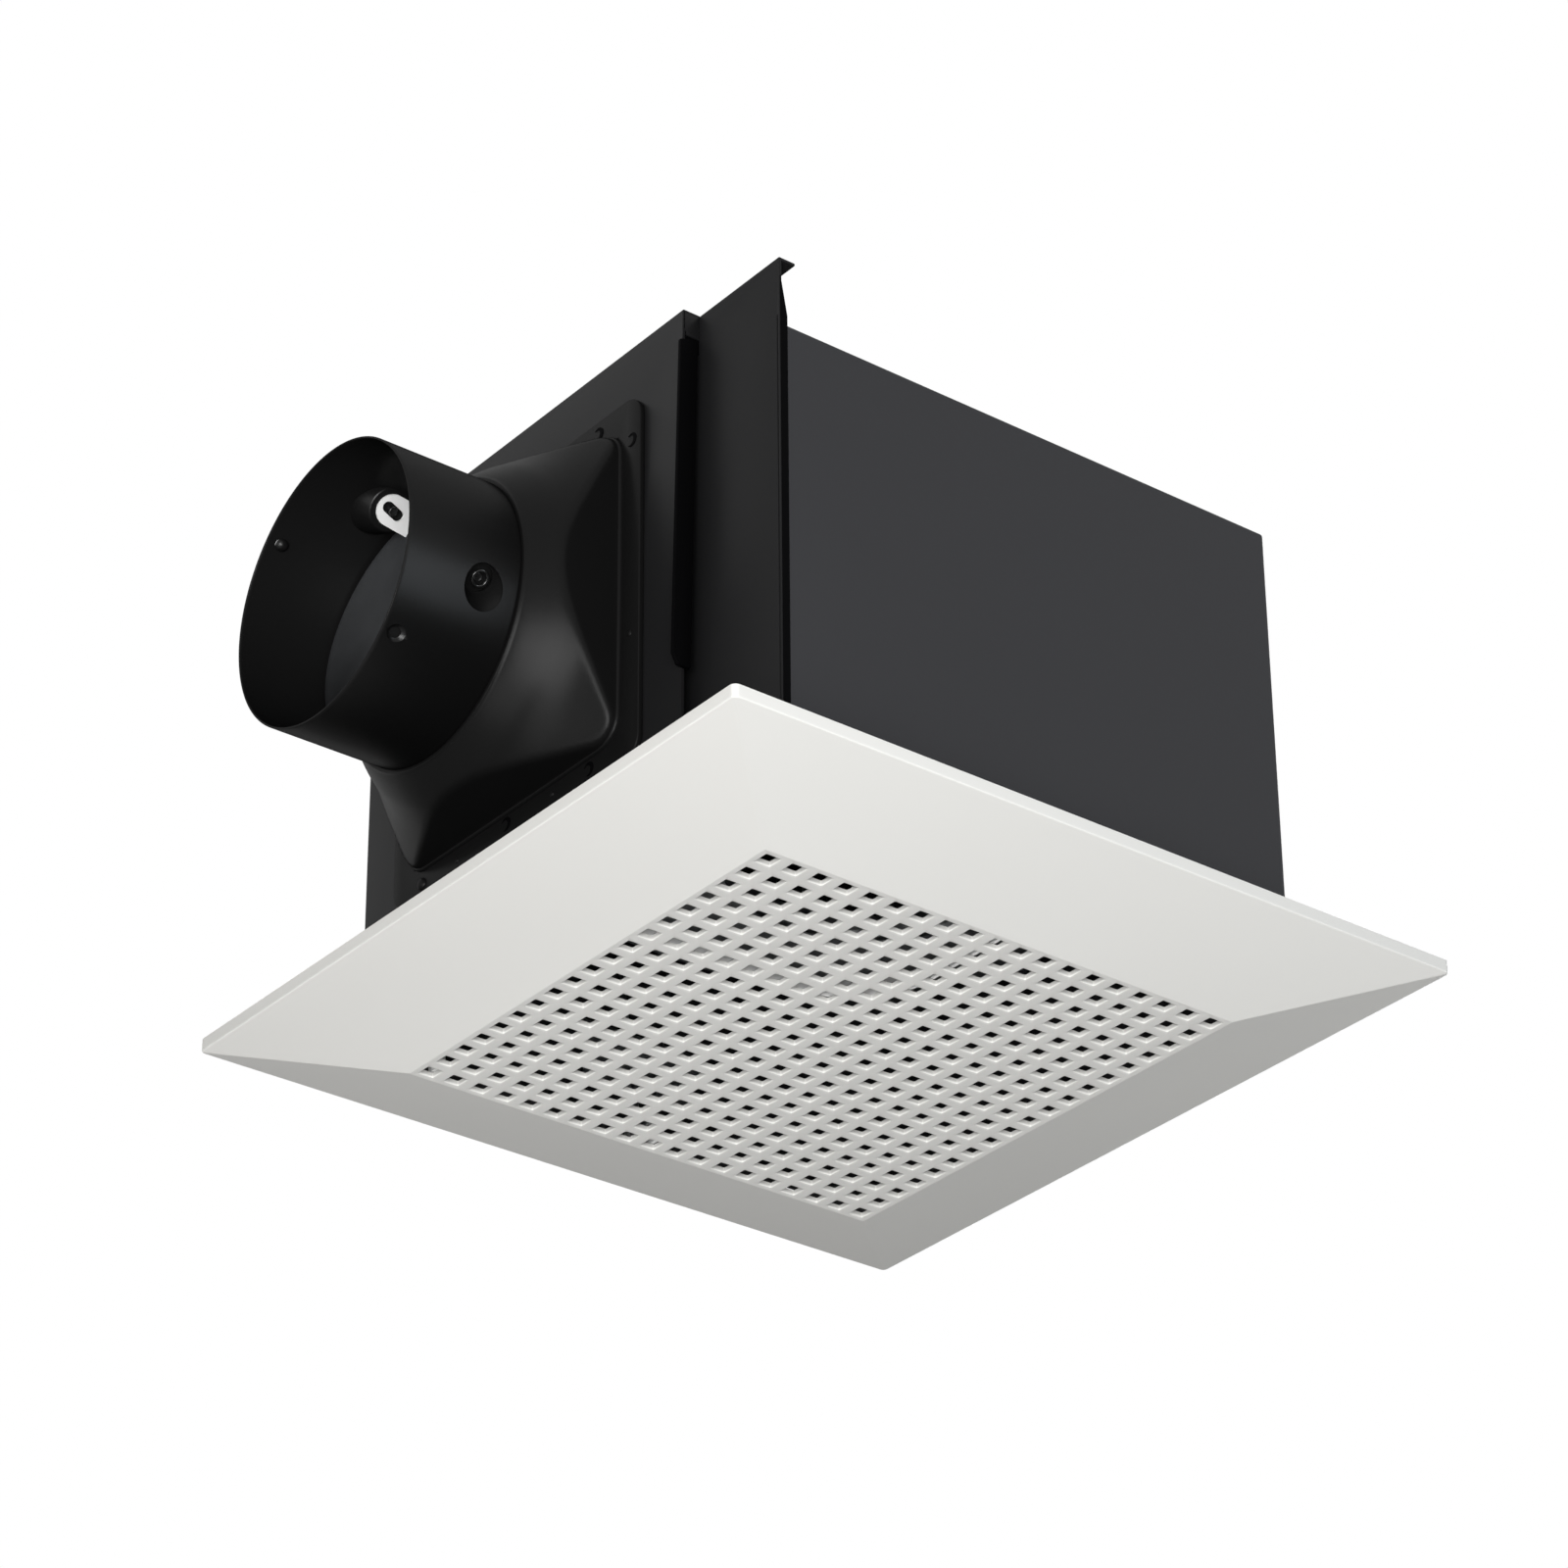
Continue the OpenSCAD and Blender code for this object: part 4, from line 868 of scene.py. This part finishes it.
class FAN_OT_duct_wall(bpy.types.Operator):
    """Model the duct wall with its wing, top lip, edge grooves and side laps"""

    bl_idname = "fan.duct_wall"
    bl_label = "Duct Wall"

    def execute(self, context):
        foot = node_low("duct_wall").z
        inner = WALL + WALL_SHEET
        wall = add_block("duct_wall_sheet", (WALL, -BOX_SIDE, foot), (inner, BOX_SIDE, WING_TOP))
        slice_at(wall, (0, 0, WING_TOP - WALL_SHEET), (0, 0, 1))
        open_edit(wall)
        pick_faces(wall, lambda middle, normal: normal.x > 0.9 and middle.z > WING_TOP - WALL_SHEET)
        extrude((node_high("duct_wall").x - inner) * MM, 0, 0)
        close_edit()
        carve_opening(wall, WALL - 5, inner + 5, WALL_OPENING)
        for hand in (-1, 1):
            y = hand * (BOX_SIDE - GROOVE_INSET)
            groove = add_block("groove", (WALL - 1, y - 0.3, foot - 5), (WALL + 0.5, y + 0.3, GROOVE_TOP))
            carve(wall, groove)
        round_edges(wall, 0.35, 2, 60)
        finish_piece(wall, "housing", plate_shaded_paint(), ["duct_wall"])
        # the laps taper to nothing under the wing, and their near-black is painted shade
        laps = []
        lap_top = WING_TOP - 7
        for hand in (-1, 1):
            lap = add_block("lap", (WALL + 0.3, -0.5, foot), (WALL + 3.0, 0.5, lap_top))
            place(lap, at(0, hand * (BOX_SIDE - 0.25), 0))
            slice_at(lap, (WALL + 0.3, 0, lap_top), (1, 0, 0.18), "outer")
            laps.append(lap)
        finish_piece(join_pieces("duct_wall_laps", laps), "housing", matte_black_and_shade())
        return {"FINISHED"}


class FAN_OT_adapter_plate(bpy.types.Operator):
    """Model the folded plate that carries the adapter, with its near tab and a black block of painted shade
    behind its near edge
    """

    bl_idname = "fan.adapter_plate"
    bl_label = "Adapter Plate"

    def execute(self, context):
        near = PLATE_NEAR
        tray = add_block("adapter_plate_sheet", (PLATE, near, PLATE_FOOT), (WALL, PLATE_FAR, WING_TOP))
        drop_faces(tray, lambda middle, normal: normal.x > 0.9 or normal.y < -0.9)
        round_edges(tray, 0.7, 3)
        give_wall(tray, sizes().sheet)
        carve_opening(tray, PLATE - 5, PLATE + 3, PLATE_OPENING)
        finish_piece(tray, "housing", plate_shaded_paint(), ["adapter_plate"])
        tab = add_block("adapter_plate_tab", (PLATE + 0.3, near, TAB_FOOT), (WALL, near + 1, WING_TOP - 0.5))
        carve(tab, add_block("notch", (PLATE - 1, near - 1, TAB_FOOT - 0.5),
                             (PLATE + 1.6, near + 2, TAB_FOOT + 1.9)))
        round_edges(tab, 0.2, 2)
        finish_piece(tab, "housing", plate_shaded_paint())
        # a near-black block fills the gap behind the plate's near edge as painted shade
        gap_shade = add_block("adapter_plate_seal", (PLATE + 1.1, near + 0.5, TAB_FOOT - 5.5),
                         (WALL, near + 2.5, WING_TOP - 1.2))
        finish_piece(gap_shade, "housing", matte_black_and_shade())
        return {"FINISHED"}


class FAN_OT_wedge_strip(bpy.types.Operator):
    """Model the tapered black strip along the plate's near edge"""

    bl_idname = "fan.wedge_strip"
    bl_label = "Wedge Strip"

    def execute(self, context):
        low, high = node_low("wedge_strip"), node_high("wedge_strip")
        foot = low.z + 3
        strip = add_block("wedge_strip_edge", (PLATE + STRIP_OUT, low.y, foot),
                          (PLATE + STRIP_IN, high.y, STRIP_TOP))
        # each cut has a place and an outward normal: the outer edge, its foot, the inner edge and the top
        cuts = (((STRIP_OUT, foot + 4), (-119, 2.7)), ((-2.5, foot), (-4, -2)),
                ((2.5, foot), (125, -2.7)), ((STRIP_IN, STRIP_TOP), (-2, 7)))
        for (reach, height), (out, up) in cuts:
            slice_at(strip, (PLATE + reach, 0, height), (out, 0, up), "outer")
        round_edges(strip, 0.3, 2)
        finish_piece(strip, "housing", matte_black_and_shade(), ["wedge_strip"])
        return {"FINISHED"}


# Duct adapter, in millimetres

# The square foot of the flare, its bead as (depth, bulge) pairs, and the flange around it
FOOT_HALF = 58
FOOT_CORNER = 10
FOOT_BEAD = ((1.0, 0.8), (2.4, 0.8), (2.9, 0.6), (3.2, 0.3), (3.3, 0.05))
FLANGE_DEPTH = 2
FLANGE_CORNER = 8
FLANGE_OPENING = 56

# Radius of the turned part of the flare at a share of its depth, from the plate to the ring
FLARE_PROFILE = ((0.0, 84.5), (0.15, 77.4), (0.3, 71.0), (0.45, 65.4), (0.6, 61.1), (0.75, 57.6),
                 (0.87, 54.4), (0.95, 52.0), (1.0, 50.2))
FLARE_START = 3.8
FLARE_WALL = 2.8
FLARE_SIDES = 224
RING_EDGE = 0.5

# Heads in the flange, as their distance across and up from the duct axis, and their radius
HEAD_PLACES = (
    (20, 63, 2.3), (-63, -22, 1.1), (51, -63, 2.3), (-22, -62, 1.1), (31, -63, 1.1), (63, -42, 2.3),
    (63, 40, 2.3),
)

# Black crescents of painted shadow where the flange has key-shaped holes: across, up, and turn in degrees
SHADOW_CRESCENT_PLACES = ((-45, 63, 0), (-63.5, 51.3, 0), (-42, -62, 20), (3.3, -61.7, 20), (62.5, 0, 180))
FLANGE_FACE = 1.9

# Hinge bosses, their recesses and the bores under those: radius, start along the hinge, and reach
BOSS_R = 7.6
BOSS_START = 35.8
RECESS_R = 5
RECESS_START = 38
BORE_R = 4.7
BORE_START = 36.9
HINGE_REACH = 14

# The two pressed dimples: angles around the duct axis in degrees, radius, and distance from the mouth
DIMPLE_ANGLES = (226, 46)
DIMPLE_R = 4.6
DIMPLE_INSET = 5.5


def foot_radius(angle):
    """Distance from the middle to the edge of the rounded square foot, along an angle."""
    c, s = abs(math.cos(angle)), abs(math.sin(angle))
    flat = FOOT_HALF / max(c, s)
    centre = FOOT_HALF - FOOT_CORNER
    if flat * min(c, s) <= centre:
        return flat
    along = centre * (c + s)
    return along + math.sqrt(max(along * along - 2 * centre * centre + FOOT_CORNER * FOOT_CORNER, 0))


def flare_angle(step):
    """Angle around the duct axis of one point of a ring."""
    return 2 * math.pi * (step + 0.5) / FLARE_SIDES


def foot_ring(bulge=0.0):
    """One ring of the foot, as radii over the angles."""
    return [foot_radius(flare_angle(step)) + bulge for step in range(FLARE_SIDES)]


def soft_min(a, b, softness):
    """The smaller of two numbers, blended over a softness where they meet."""
    mix = max(0.0, min(1.0, 0.5 + 0.5 * (b - a) / softness))
    return b + (a - b) * mix - softness * mix * (1 - mix)


def flare_radius(share):
    """Radius of the turned part, read smoothly between the places of its profile."""
    places = FLARE_PROFILE
    for step in range(len(places) - 1):
        if share <= places[step + 1][0] or step == len(places) - 2:
            before, after = places[max(step - 1, 0)], places[min(step + 2, len(places) - 1)]
            low, high = places[step], places[step + 1]
            width = high[0] - low[0]
            mix = (share - low[0]) / width
            rise_low = (high[1] - before[1]) / (high[0] - before[0]) * width
            rise_high = (after[1] - low[1]) / (after[0] - low[0]) * width
            square, cube = mix * mix, mix * mix * mix
            return (low[1] * (2 * cube - 3 * square + 1) + rise_low * (cube - 2 * square + mix)
                    + high[1] * (3 * square - 2 * cube) + rise_high * (cube - square))


def flare_ring(depth, shrink=0.0):
    """One ring of the flare at a depth from the plate, as radii over the angles."""
    round_part = flare_radius(depth / (PLATE - RING))
    softness = sizes().ridge_round / MM
    return [soft_min(round_part, square, softness) - shrink for square in foot_ring()]


def loft_rings(name, rings):
    """A skin over rings given as (depth, radii) in the duct frame."""
    mesh = bmesh.new()
    loops = []
    for depth, radii in rings:
        loop = []
        for step, radius in enumerate(radii):
            angle = flare_angle(step)
            corner = Vector((radius * math.cos(angle), radius * math.sin(angle), depth)) * MM
            loop.append(mesh.verts.new(corner))
        loops.append(loop)
    for low, high in zip(loops, loops[1:]):
        for step in range(len(low)):
            after = (step + 1) % len(low)
            mesh.faces.new((low[step], low[after], high[after], high[step]))
    data = bpy.data.meshes.new(name)
    mesh.to_mesh(data)
    mesh.free()
    piece = bpy.data.objects.new(name, data)
    bpy.context.collection.objects.link(piece)
    return piece


class FAN_OT_duct_flare(bpy.types.Operator):
    """Model the screw flange, the square foot and the flare from square to round"""

    bl_idname = "fan.duct_flare"
    bl_label = "Duct Flare"

    def execute(self, context):
        reach = PLATE - RING
        end = reach - RING_EDGE
        rings = [(depth, foot_ring(bulge)) for depth, bulge in FOOT_BEAD]
        for step in range(41):
            depth = FLARE_START + (end - FLARE_START) * step / 40
            rings.append((depth, flare_ring(depth)))
        # the ring ends in a rounded edge, which catches the light in a thin line
        last = flare_ring(end)
        for step in range(1, 7):
            turn = math.radians(15 * step)
            drop = RING_EDGE * (1 - math.cos(turn))
            rings.append((end + RING_EDGE * math.sin(turn), [radius - drop for radius in last]))
        rings.append((reach, [radius - 3.0 for radius in last]))
        # the inner skin goes back down to the opening
        for step in range(13):
            depth = reach - (reach - 1.0) * step / 12
            rings.append((depth, flare_ring(depth, FLARE_WALL)))
        flare = place(loft_rings("duct_flare_skin", rings), duct_frame())
        tidy_mesh(flare, closed=False)
        out, hole = FOOT_FLANGE, FLANGE_OPENING
        flange = add_block("flange", (-out, -out, 0), (out, out, FLANGE_DEPTH))
        round_uprights(flange, FLANGE_CORNER, 8)
        carve(flange, add_block("opening", (-hole, -hole, -5), (hole, hole, 5)))
        round_edges(flange, 0.35, 2, 60)
        place(flange, duct_frame())
        flare = join_pieces("duct_flare_skin", [flare, flange])
        finish_piece(flare, "housing", black_moulding(), ["duct_flare"], 50)
        return {"FINISHED"}


class FAN_OT_flange_shadow_crescents(bpy.types.Operator):
    """Model the black crescents of painted shadow in the adapter's flange"""

    bl_idname = "fan.flange_hooks"
    bl_label = "Flange Hooks"

    def execute(self, context):
        shadow_crescents = []
        for across, up, turn in SHADOW_CRESCENT_PLACES:
            hook = add_round("hook", 2.5, 0, 0.3, 40)
            carve(hook, place(add_round("hollow", 1.9, -1, 1, 32), at(0.1, 0.9, 0)))
            shadow_crescents.append(place(hook, duct_frame() @ at(up, across, FLANGE_FACE) @ turned(turn, "Z")))
        finish_piece(join_pieces("flange_hooks", shadow_crescents), "housing", matte_black_and_shade())
        return {"FINISHED"}


class FAN_OT_flange_heads(bpy.types.Operator):
    """Model the domed heads in the adapter's flange"""

    bl_idname = "fan.flange_heads"
    bl_label = "Flange Heads"

    def execute(self, context):
        heads = []
        for across, up, radius in HEAD_PLACES:
            head = add_ball("head", radius, 24)
            slice_at(head, (0, 0, 0), (0, 0, 1), "inner")
            stretch(head, (1, 1, 0.6))
            weld(head, add_round("shank", 0.6 * radius, -3, 0.1, 24))
            heads.append(place(head, duct_frame() @ at(up, across, FLANGE_FACE)))
        head = join_pieces("flange_heads", heads)
        finish_piece(head, "housing", black_moulding(), ["adapter_screws"])
        return {"FINISHED"}


def hinge_cone(name, radius, start, spread):
    """A cone about the hinge that widens outwards."""
    return add_round(name, radius, start, start + HINGE_REACH, tip=radius + HINGE_REACH * spread)


class FAN_OT_duct_spigot(bpy.types.Operator):
    """Model the round spigot with its hinge bosses, recesses and pressed dimples"""

    bl_idname = "fan.duct_spigot"
    bl_label = "Duct Spigot"

    def execute(self, context):
        size = sizes()
        start, end = PLATE - RING, PLATE - MOUTH
        inner = SPIGOT_R - size.spigot_wall / MM
        tube = add_round("duct_spigot_tube", SPIGOT_R, start, end, 192, "NOTHING")
        tidy_mesh(tube)
        give_wall(tube, size.spigot_wall)
        # the wall thins towards the mouth
        open_edit(tube, "VERT")
        mesh = bmesh.from_edit_mesh(tube.data)
        for vert in mesh.verts:
            inside = math.hypot(vert.co.x, vert.co.y) < (SPIGOT_R - 0.5) * MM
            vert.select_set(inside and vert.co.z > (end - 1) * MM)
        bmesh.update_edit_mesh(tube.data)
        widen((SPIGOT_R - 0.7) / inner, (0, 0, end * MM))
        close_edit()
        round_edges(tube, 0.22, 2, 60)
        # rings of edges keep the long faces short, so that the shading stays even around each feature
        for depth in (start + 2, end - 42, end - 18, end - 10.5, end - 1.2):
            slice_at(tube, (0, 0, depth), (0, 0, 1))
        place(tube, duct_frame())
        bosses = []
        for side in (0, 180):
            boss = hinge_cone("boss", BOSS_R, BOSS_START, 0.4)
            round_edges(boss, 0.5, 2, 60)
            bosses.append(place(boss, hinge_end(side)))
        boss = join_pieces("boss", bosses)
        limit = place(add_round("limit", SPIGOT_R - 0.4, start, end, 192), duct_frame())
        weld(tube, combine(boss, limit, "INTERSECT"))
        for side in (0, 180):
            carve(tube, place(hinge_cone("recess", RECESS_R, RECESS_START, 0.42), hinge_end(side)))
            bore = add_round("bore", BORE_R, BORE_START, RECESS_START + HINGE_REACH, 48)
            carve(tube, place(bore, hinge_end(side)))
        depth = end - DIMPLE_INSET
        for angle in DIMPLE_ANGLES:
            outward = duct_frame() @ turned(angle, "Z")
            dent = stretch(add_ball("dent", DIMPLE_R, 32), (1, 0.9, 1.02))
            carve(tube, place(dent, outward @ at(SPIGOT_R + 3.2, 0, depth)))
            bump = stretch(add_ball("bump", DIMPLE_R, 32), (0.9, 0.6, 0.68))
            place(bump, outward @ at(inner + 3.1, 0, depth))
            shell = place(add_round("shell", inner + 0.6, start, end, 96), duct_frame())
            weld(tube, combine(bump, shell, "INTERSECT"))
        seat = add_round("seat", inner, start, start + 1.5, 96)
        carve(seat, add_round("seat_hole", inner - 3.5, start - 2, start + 4, 96))
        place(seat, duct_frame())
        tube = join_pieces("duct_spigot_tube", [tube, seat])
        finish_piece(tube, "housing", spigot_plastic(), ["duct_spigot"], 40)
        return {"FINISHED"}


# Damper, in millimetres, in the hinge frame

FLAP_R = 45.8
FLAP_FRONT = 9.0
FLAP_BACK = 9.8

# The ears: radius, both faces along the hinge, and the arm to the flap
EAR_R = 5.5
EAR_INNER = 34.7
EAR_OUTER = 35.5
EAR_ARM = 9.4

# The slot in each ear: half its width, the run between its round ends, its tilt in degrees
EAR_SLOT_R = 1.95
EAR_SLOT_RUN = 4.8
EAR_SLOT_TILT = 12

# The hinge pins: shank, head and hollow, as (radius, start, end, sides)
PIN_SHANK = (1.5, 33.6, 38.2, 32)
PIN_HEAD = (3.0, 38.0, 39.2, 48)
PIN_HOLLOW = (2.2, 37.4, 41, 32)


class FAN_OT_hinge_pins(bpy.types.Operator):
    """Model the two hinge pins with hollow riveted ends"""

    bl_idname = "fan.hinge_pins"
    bl_label = "Hinge Pins"

    def execute(self, context):
        pins = []
        for side in (0, 180):
            pin = add_round("pin", *PIN_SHANK)
            weld(pin, add_round("head", *PIN_HEAD))
            carve(pin, add_round("hollow", *PIN_HOLLOW))
            round_edges(pin, 0.3, 3, 60)
            pins.append(place(pin, hinge_end(side)))
        pin = join_pieces("hinge_pins", pins)
        finish_piece(pin, "housing", pin_steel(), ["damper_pins"])
        return {"FINISHED"}


class FAN_OT_damper_flap(bpy.types.Operator):
    """Model the damper flap, a sheet disc with a pressed rim and one straight edge"""

    bl_idname = "fan.damper_flap"
    bl_label = "Damper Flap"

    def execute(self, context):
        disc = add_round("damper_flap_disc", FLAP_R, FLAP_FRONT, FLAP_BACK, 160)
        place(disc, at(0, HINGE_OFFSET, 0) @ turned(90, "Y"))
        slice_at(disc, (0, -EAR_R, 0), (0, 1, 0), "inner")
        for side in (-1, 1):
            open_edit(disc)
            pick_faces(disc, lambda middle, normal: normal.x * side > 0.9)
            bpy.ops.mesh.inset(thickness=2.2 * MM, depth=-0.25 * MM)
            close_edit()
        round_edges(disc, 0.2, 2, 60)
        place(disc, hinge_frame(FLAP_REST))
        finish_piece(disc, "damper", flap_sheet(), ["damper_flap"])
        return {"FINISHED"}


class FAN_OT_damper_ears(bpy.types.Operator):
    """Model the flap's two bright ears with their tilted slots"""

    bl_idname = "fan.damper_ears"
    bl_label = "Damper Ears"

    def execute(self, context):
        ears = []
        for mirrored in (False, True):
            ear = add_round("ear", EAR_R, EAR_INNER, EAR_OUTER, 48)
            weld(ear, add_block("arm", (0, -EAR_R, EAR_INNER), (EAR_ARM, EAR_R, EAR_OUTER)))
            slot = add_round("slot", EAR_SLOT_R, 30, 40, 24)
            weld(slot, copy_piece(slot, "slot_end", at(EAR_SLOT_RUN, 0, 0)))
            weld(slot, add_block("slot_run", (0, -EAR_SLOT_R, 30), (EAR_SLOT_RUN, EAR_SLOT_R, 40)))
            place(slot, turned(EAR_SLOT_TILT, "Z") @ at(-2.0, 0, 0))
            carve(ear, slot)
            round_edges(ear, 0.15, 2, 60)
            if mirrored:
                ear.data.transform(Matrix.Scale(-1, 4, (0, 0, 1)))
                tidy_mesh(ear)
            ears.append(ear)
        ear = place(join_pieces("damper_ears", ears), hinge_frame(FLAP_REST))
        finish_piece(ear, "damper", bright_steel())
        return {"FINISHED"}


# Stage

# Camera solved from the straight edges of the photograph: place, right, down and view directions, lens
CAMERA_PLACE = Vector((-0.928909, -1.165989, -0.768329))
CAMERA_RIGHT = Vector((0.78888608, -0.61449688, -0.00723436))
CAMERA_DOWN = Vector((0.29944165, 0.39464745, -0.8686703))
CAMERA_VIEW = Vector((0.53665021, 0.68311564, 0.49533784))
CAMERA_LENS = 118.07

# Softboxes: name, place, aim, width, height, power, and colour where it isn't white
SOFTBOXES = (
    ("key_softbox", (-1.3, -1.45, -0.66), (0, 0, 0.07), 1.2, 1.2, 48),
    ("left_softbox", (-1.6, 0.1, -0.1), (-0.14, 0, 0.09), 0.8, 0.8, 3.5),
    ("side_softbox", (-1.0, 1.15, 1.16), (-0.1, 0, 0.12), 0.9, 0.8, 0.25),
    ("low_softbox", (-1.33, -0.36, -0.93), (-0.14, 0.02, 0.08), 0.7, 0.7, 4.4),
    ("bottom_softbox", (-0.1, -0.1, -1.6), (0, 0, 0), 1.2, 1.2, 0.9),
    ("right_softbox", (0.74, -1.5, 0.0), (-0.1, -0.02, 0.05), 0.7, 1.0, 6.8, (0.86, 0.93, 1.0)),
    ("back_softbox", (1.75, 1.0, 1.0), (0, 0, 0.1), 1.4, 1.4, 36),
)


def add_softbox(name, where, aim, width, height, power, colour=(1, 1, 1)):
    light = bpy.data.lights.new(name, "AREA")
    light.shape = "RECTANGLE"
    light.size = width
    light.size_y = height
    light.energy = power
    light.color = colour
    box = bpy.data.objects.new(name, light)
    box.location = where
    box.visible_camera = False
    box.rotation_euler = (Vector(aim) - Vector(where)).to_track_quat("-Z", "Y").to_euler()
    bpy.context.collection.objects.link(box)
    return box


def mix_shaders(tree, share, first, second, target):
    """Mixes two shader sockets by a share and links the result to a target."""
    mix = tree.nodes.new("ShaderNodeMixShader")
    for socket, source in zip(mix.inputs, (share, first, second)):
        tree.links.new(source, socket)
    tree.links.new(mix.outputs[0], target)


def white_background(tree, strength):
    node = tree.nodes.new("ShaderNodeBackground")
    set_inputs(node, {"Color": (1, 1, 1, 1), "Strength": strength})
    return node.outputs[0]


def plain_world(ambient):
    """White where the camera, a reflection or glass looks at it, and a soft fill elsewhere."""
    world = bpy.data.worlds.new("studio_world")
    bpy.context.scene.world = world
    world.use_nodes = True
    tree = world.node_tree
    tree.nodes.clear()
    path = tree.nodes.new("ShaderNodeLightPath").outputs
    seen = add_math(tree, "MAXIMUM", path["Is Camera Ray"], path["Is Glossy Ray"])
    seen = add_math(tree, "MAXIMUM", seen, path["Is Transmission Ray"])
    out = tree.nodes.new("ShaderNodeOutputWorld")
    mix_shaders(tree, seen, white_background(tree, ambient), white_background(tree, 1), out.inputs["Surface"])


def floor_material():
    """Matt white that shows nearly plain white to the camera, and in part to a reflection."""
    material = bpy.data.materials.new("studio_floor")
    material.use_nodes = True
    tree = material.node_tree
    shader = tree.nodes["Principled BSDF"]
    set_inputs(shader, {"Base Color": (0.85, 0.85, 0.85, 1), "Roughness": 0.9, "Specular IOR Level": 0.1})
    glow = tree.nodes.new("ShaderNodeEmission")
    set_inputs(glow, {"Color": (1, 1, 1, 1)})
    path = tree.nodes.new("ShaderNodeLightPath").outputs
    shown = add_math(tree, "MULTIPLY", path["Is Camera Ray"], 0.88)
    share = add_math(tree, "MAXIMUM", shown, add_math(tree, "MULTIPLY", path["Is Glossy Ray"], 0.3))
    out = tree.nodes["Material Output"]
    mix_shaders(tree, share, shader.outputs[0], glow.outputs[0], out.inputs["Surface"])
    return material


class FAN_OT_stage(bpy.types.Operator):
    """Set the floor, the soft lights, the plain world and the camera"""

    bl_idname = "fan.stage"
    bl_label = "Studio Stage"

    def execute(self, context):
        scene = context.scene
        scene.view_settings.view_transform = "Standard"
        plain_world(0.05)
        clear_selection()
        bpy.ops.mesh.primitive_plane_add(size=60, location=(0, 0, -sizes().floor_drop))
        floor = named("studio_floor")
        floor.data.materials.append(floor_material())
        lights = [add_softbox(*softbox) for softbox in SOFTBOXES]
        camera_data = bpy.data.cameras.new("studio_camera")
        camera_data.sensor_width = 36
        camera_data.lens = CAMERA_LENS
        camera_data.clip_start = 0.05
        camera_data.clip_end = 60
        camera = bpy.data.objects.new("studio_camera", camera_data)
        turn = Matrix((CAMERA_RIGHT, -CAMERA_DOWN, -CAMERA_VIEW)).transposed().to_4x4()
        camera.matrix_world = Matrix.Translation(CAMERA_PLACE) @ turn
        context.collection.objects.link(camera)
        scene.camera = camera
        return {"FINISHED"}


class FAN_PT_panel(bpy.types.Panel):
    """Sizes, colours and pieces of the exhaust fan."""

    bl_idname = "FAN_PT_panel"
    bl_label = "Exhaust Fan"
    bl_space_type = "VIEW_3D"
    bl_region_type = "UI"
    bl_category = "Exhaust Fan"

    def draw(self, context):
        column = self.layout.column()
        for group in (context.scene.fan_sizes, context.scene.fan_colours):
            for prop in group.__annotations__:
                column.prop(group, prop)
        for piece in PIECE_OPERATORS:
            column.operator(piece.bl_idname)


PIECE_OPERATORS = (
    FAN_OT_grille_border,
    FAN_OT_grille_lattice,
    FAN_OT_housing_box,
    FAN_OT_housing_beads,
    FAN_OT_housing_spot_welds,
    FAN_OT_housing_seams,
    FAN_OT_duct_wall,
    FAN_OT_adapter_plate,
    FAN_OT_wedge_strip,
    FAN_OT_duct_flare,
    FAN_OT_flange_shadow_crescents,
    FAN_OT_flange_heads,
    FAN_OT_duct_spigot,
    FAN_OT_hinge_pins,
    FAN_OT_damper_flap,
    FAN_OT_damper_ears,
    FAN_OT_frame_finishes,
    FAN_OT_stage,
)
CLASSES = (FanSizes, FanColours, *PIECE_OPERATORS, FAN_PT_panel)


def register():
    for cls in CLASSES:
        bpy.utils.register_class(cls)
    bpy.types.Scene.fan_sizes = bpy.props.PointerProperty(type=FanSizes)
    bpy.types.Scene.fan_colours = bpy.props.PointerProperty(type=FanColours)


def unregister():
    del bpy.types.Scene.fan_colours
    del bpy.types.Scene.fan_sizes
    for cls in reversed(CLASSES):
        bpy.utils.unregister_class(cls)


def main():
    register()
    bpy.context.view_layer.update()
    for piece in PIECE_OPERATORS:
        group, name = piece.bl_idname.split(".")
        getattr(getattr(bpy.ops, group), name)()


if __name__ == "__main__":
    main()
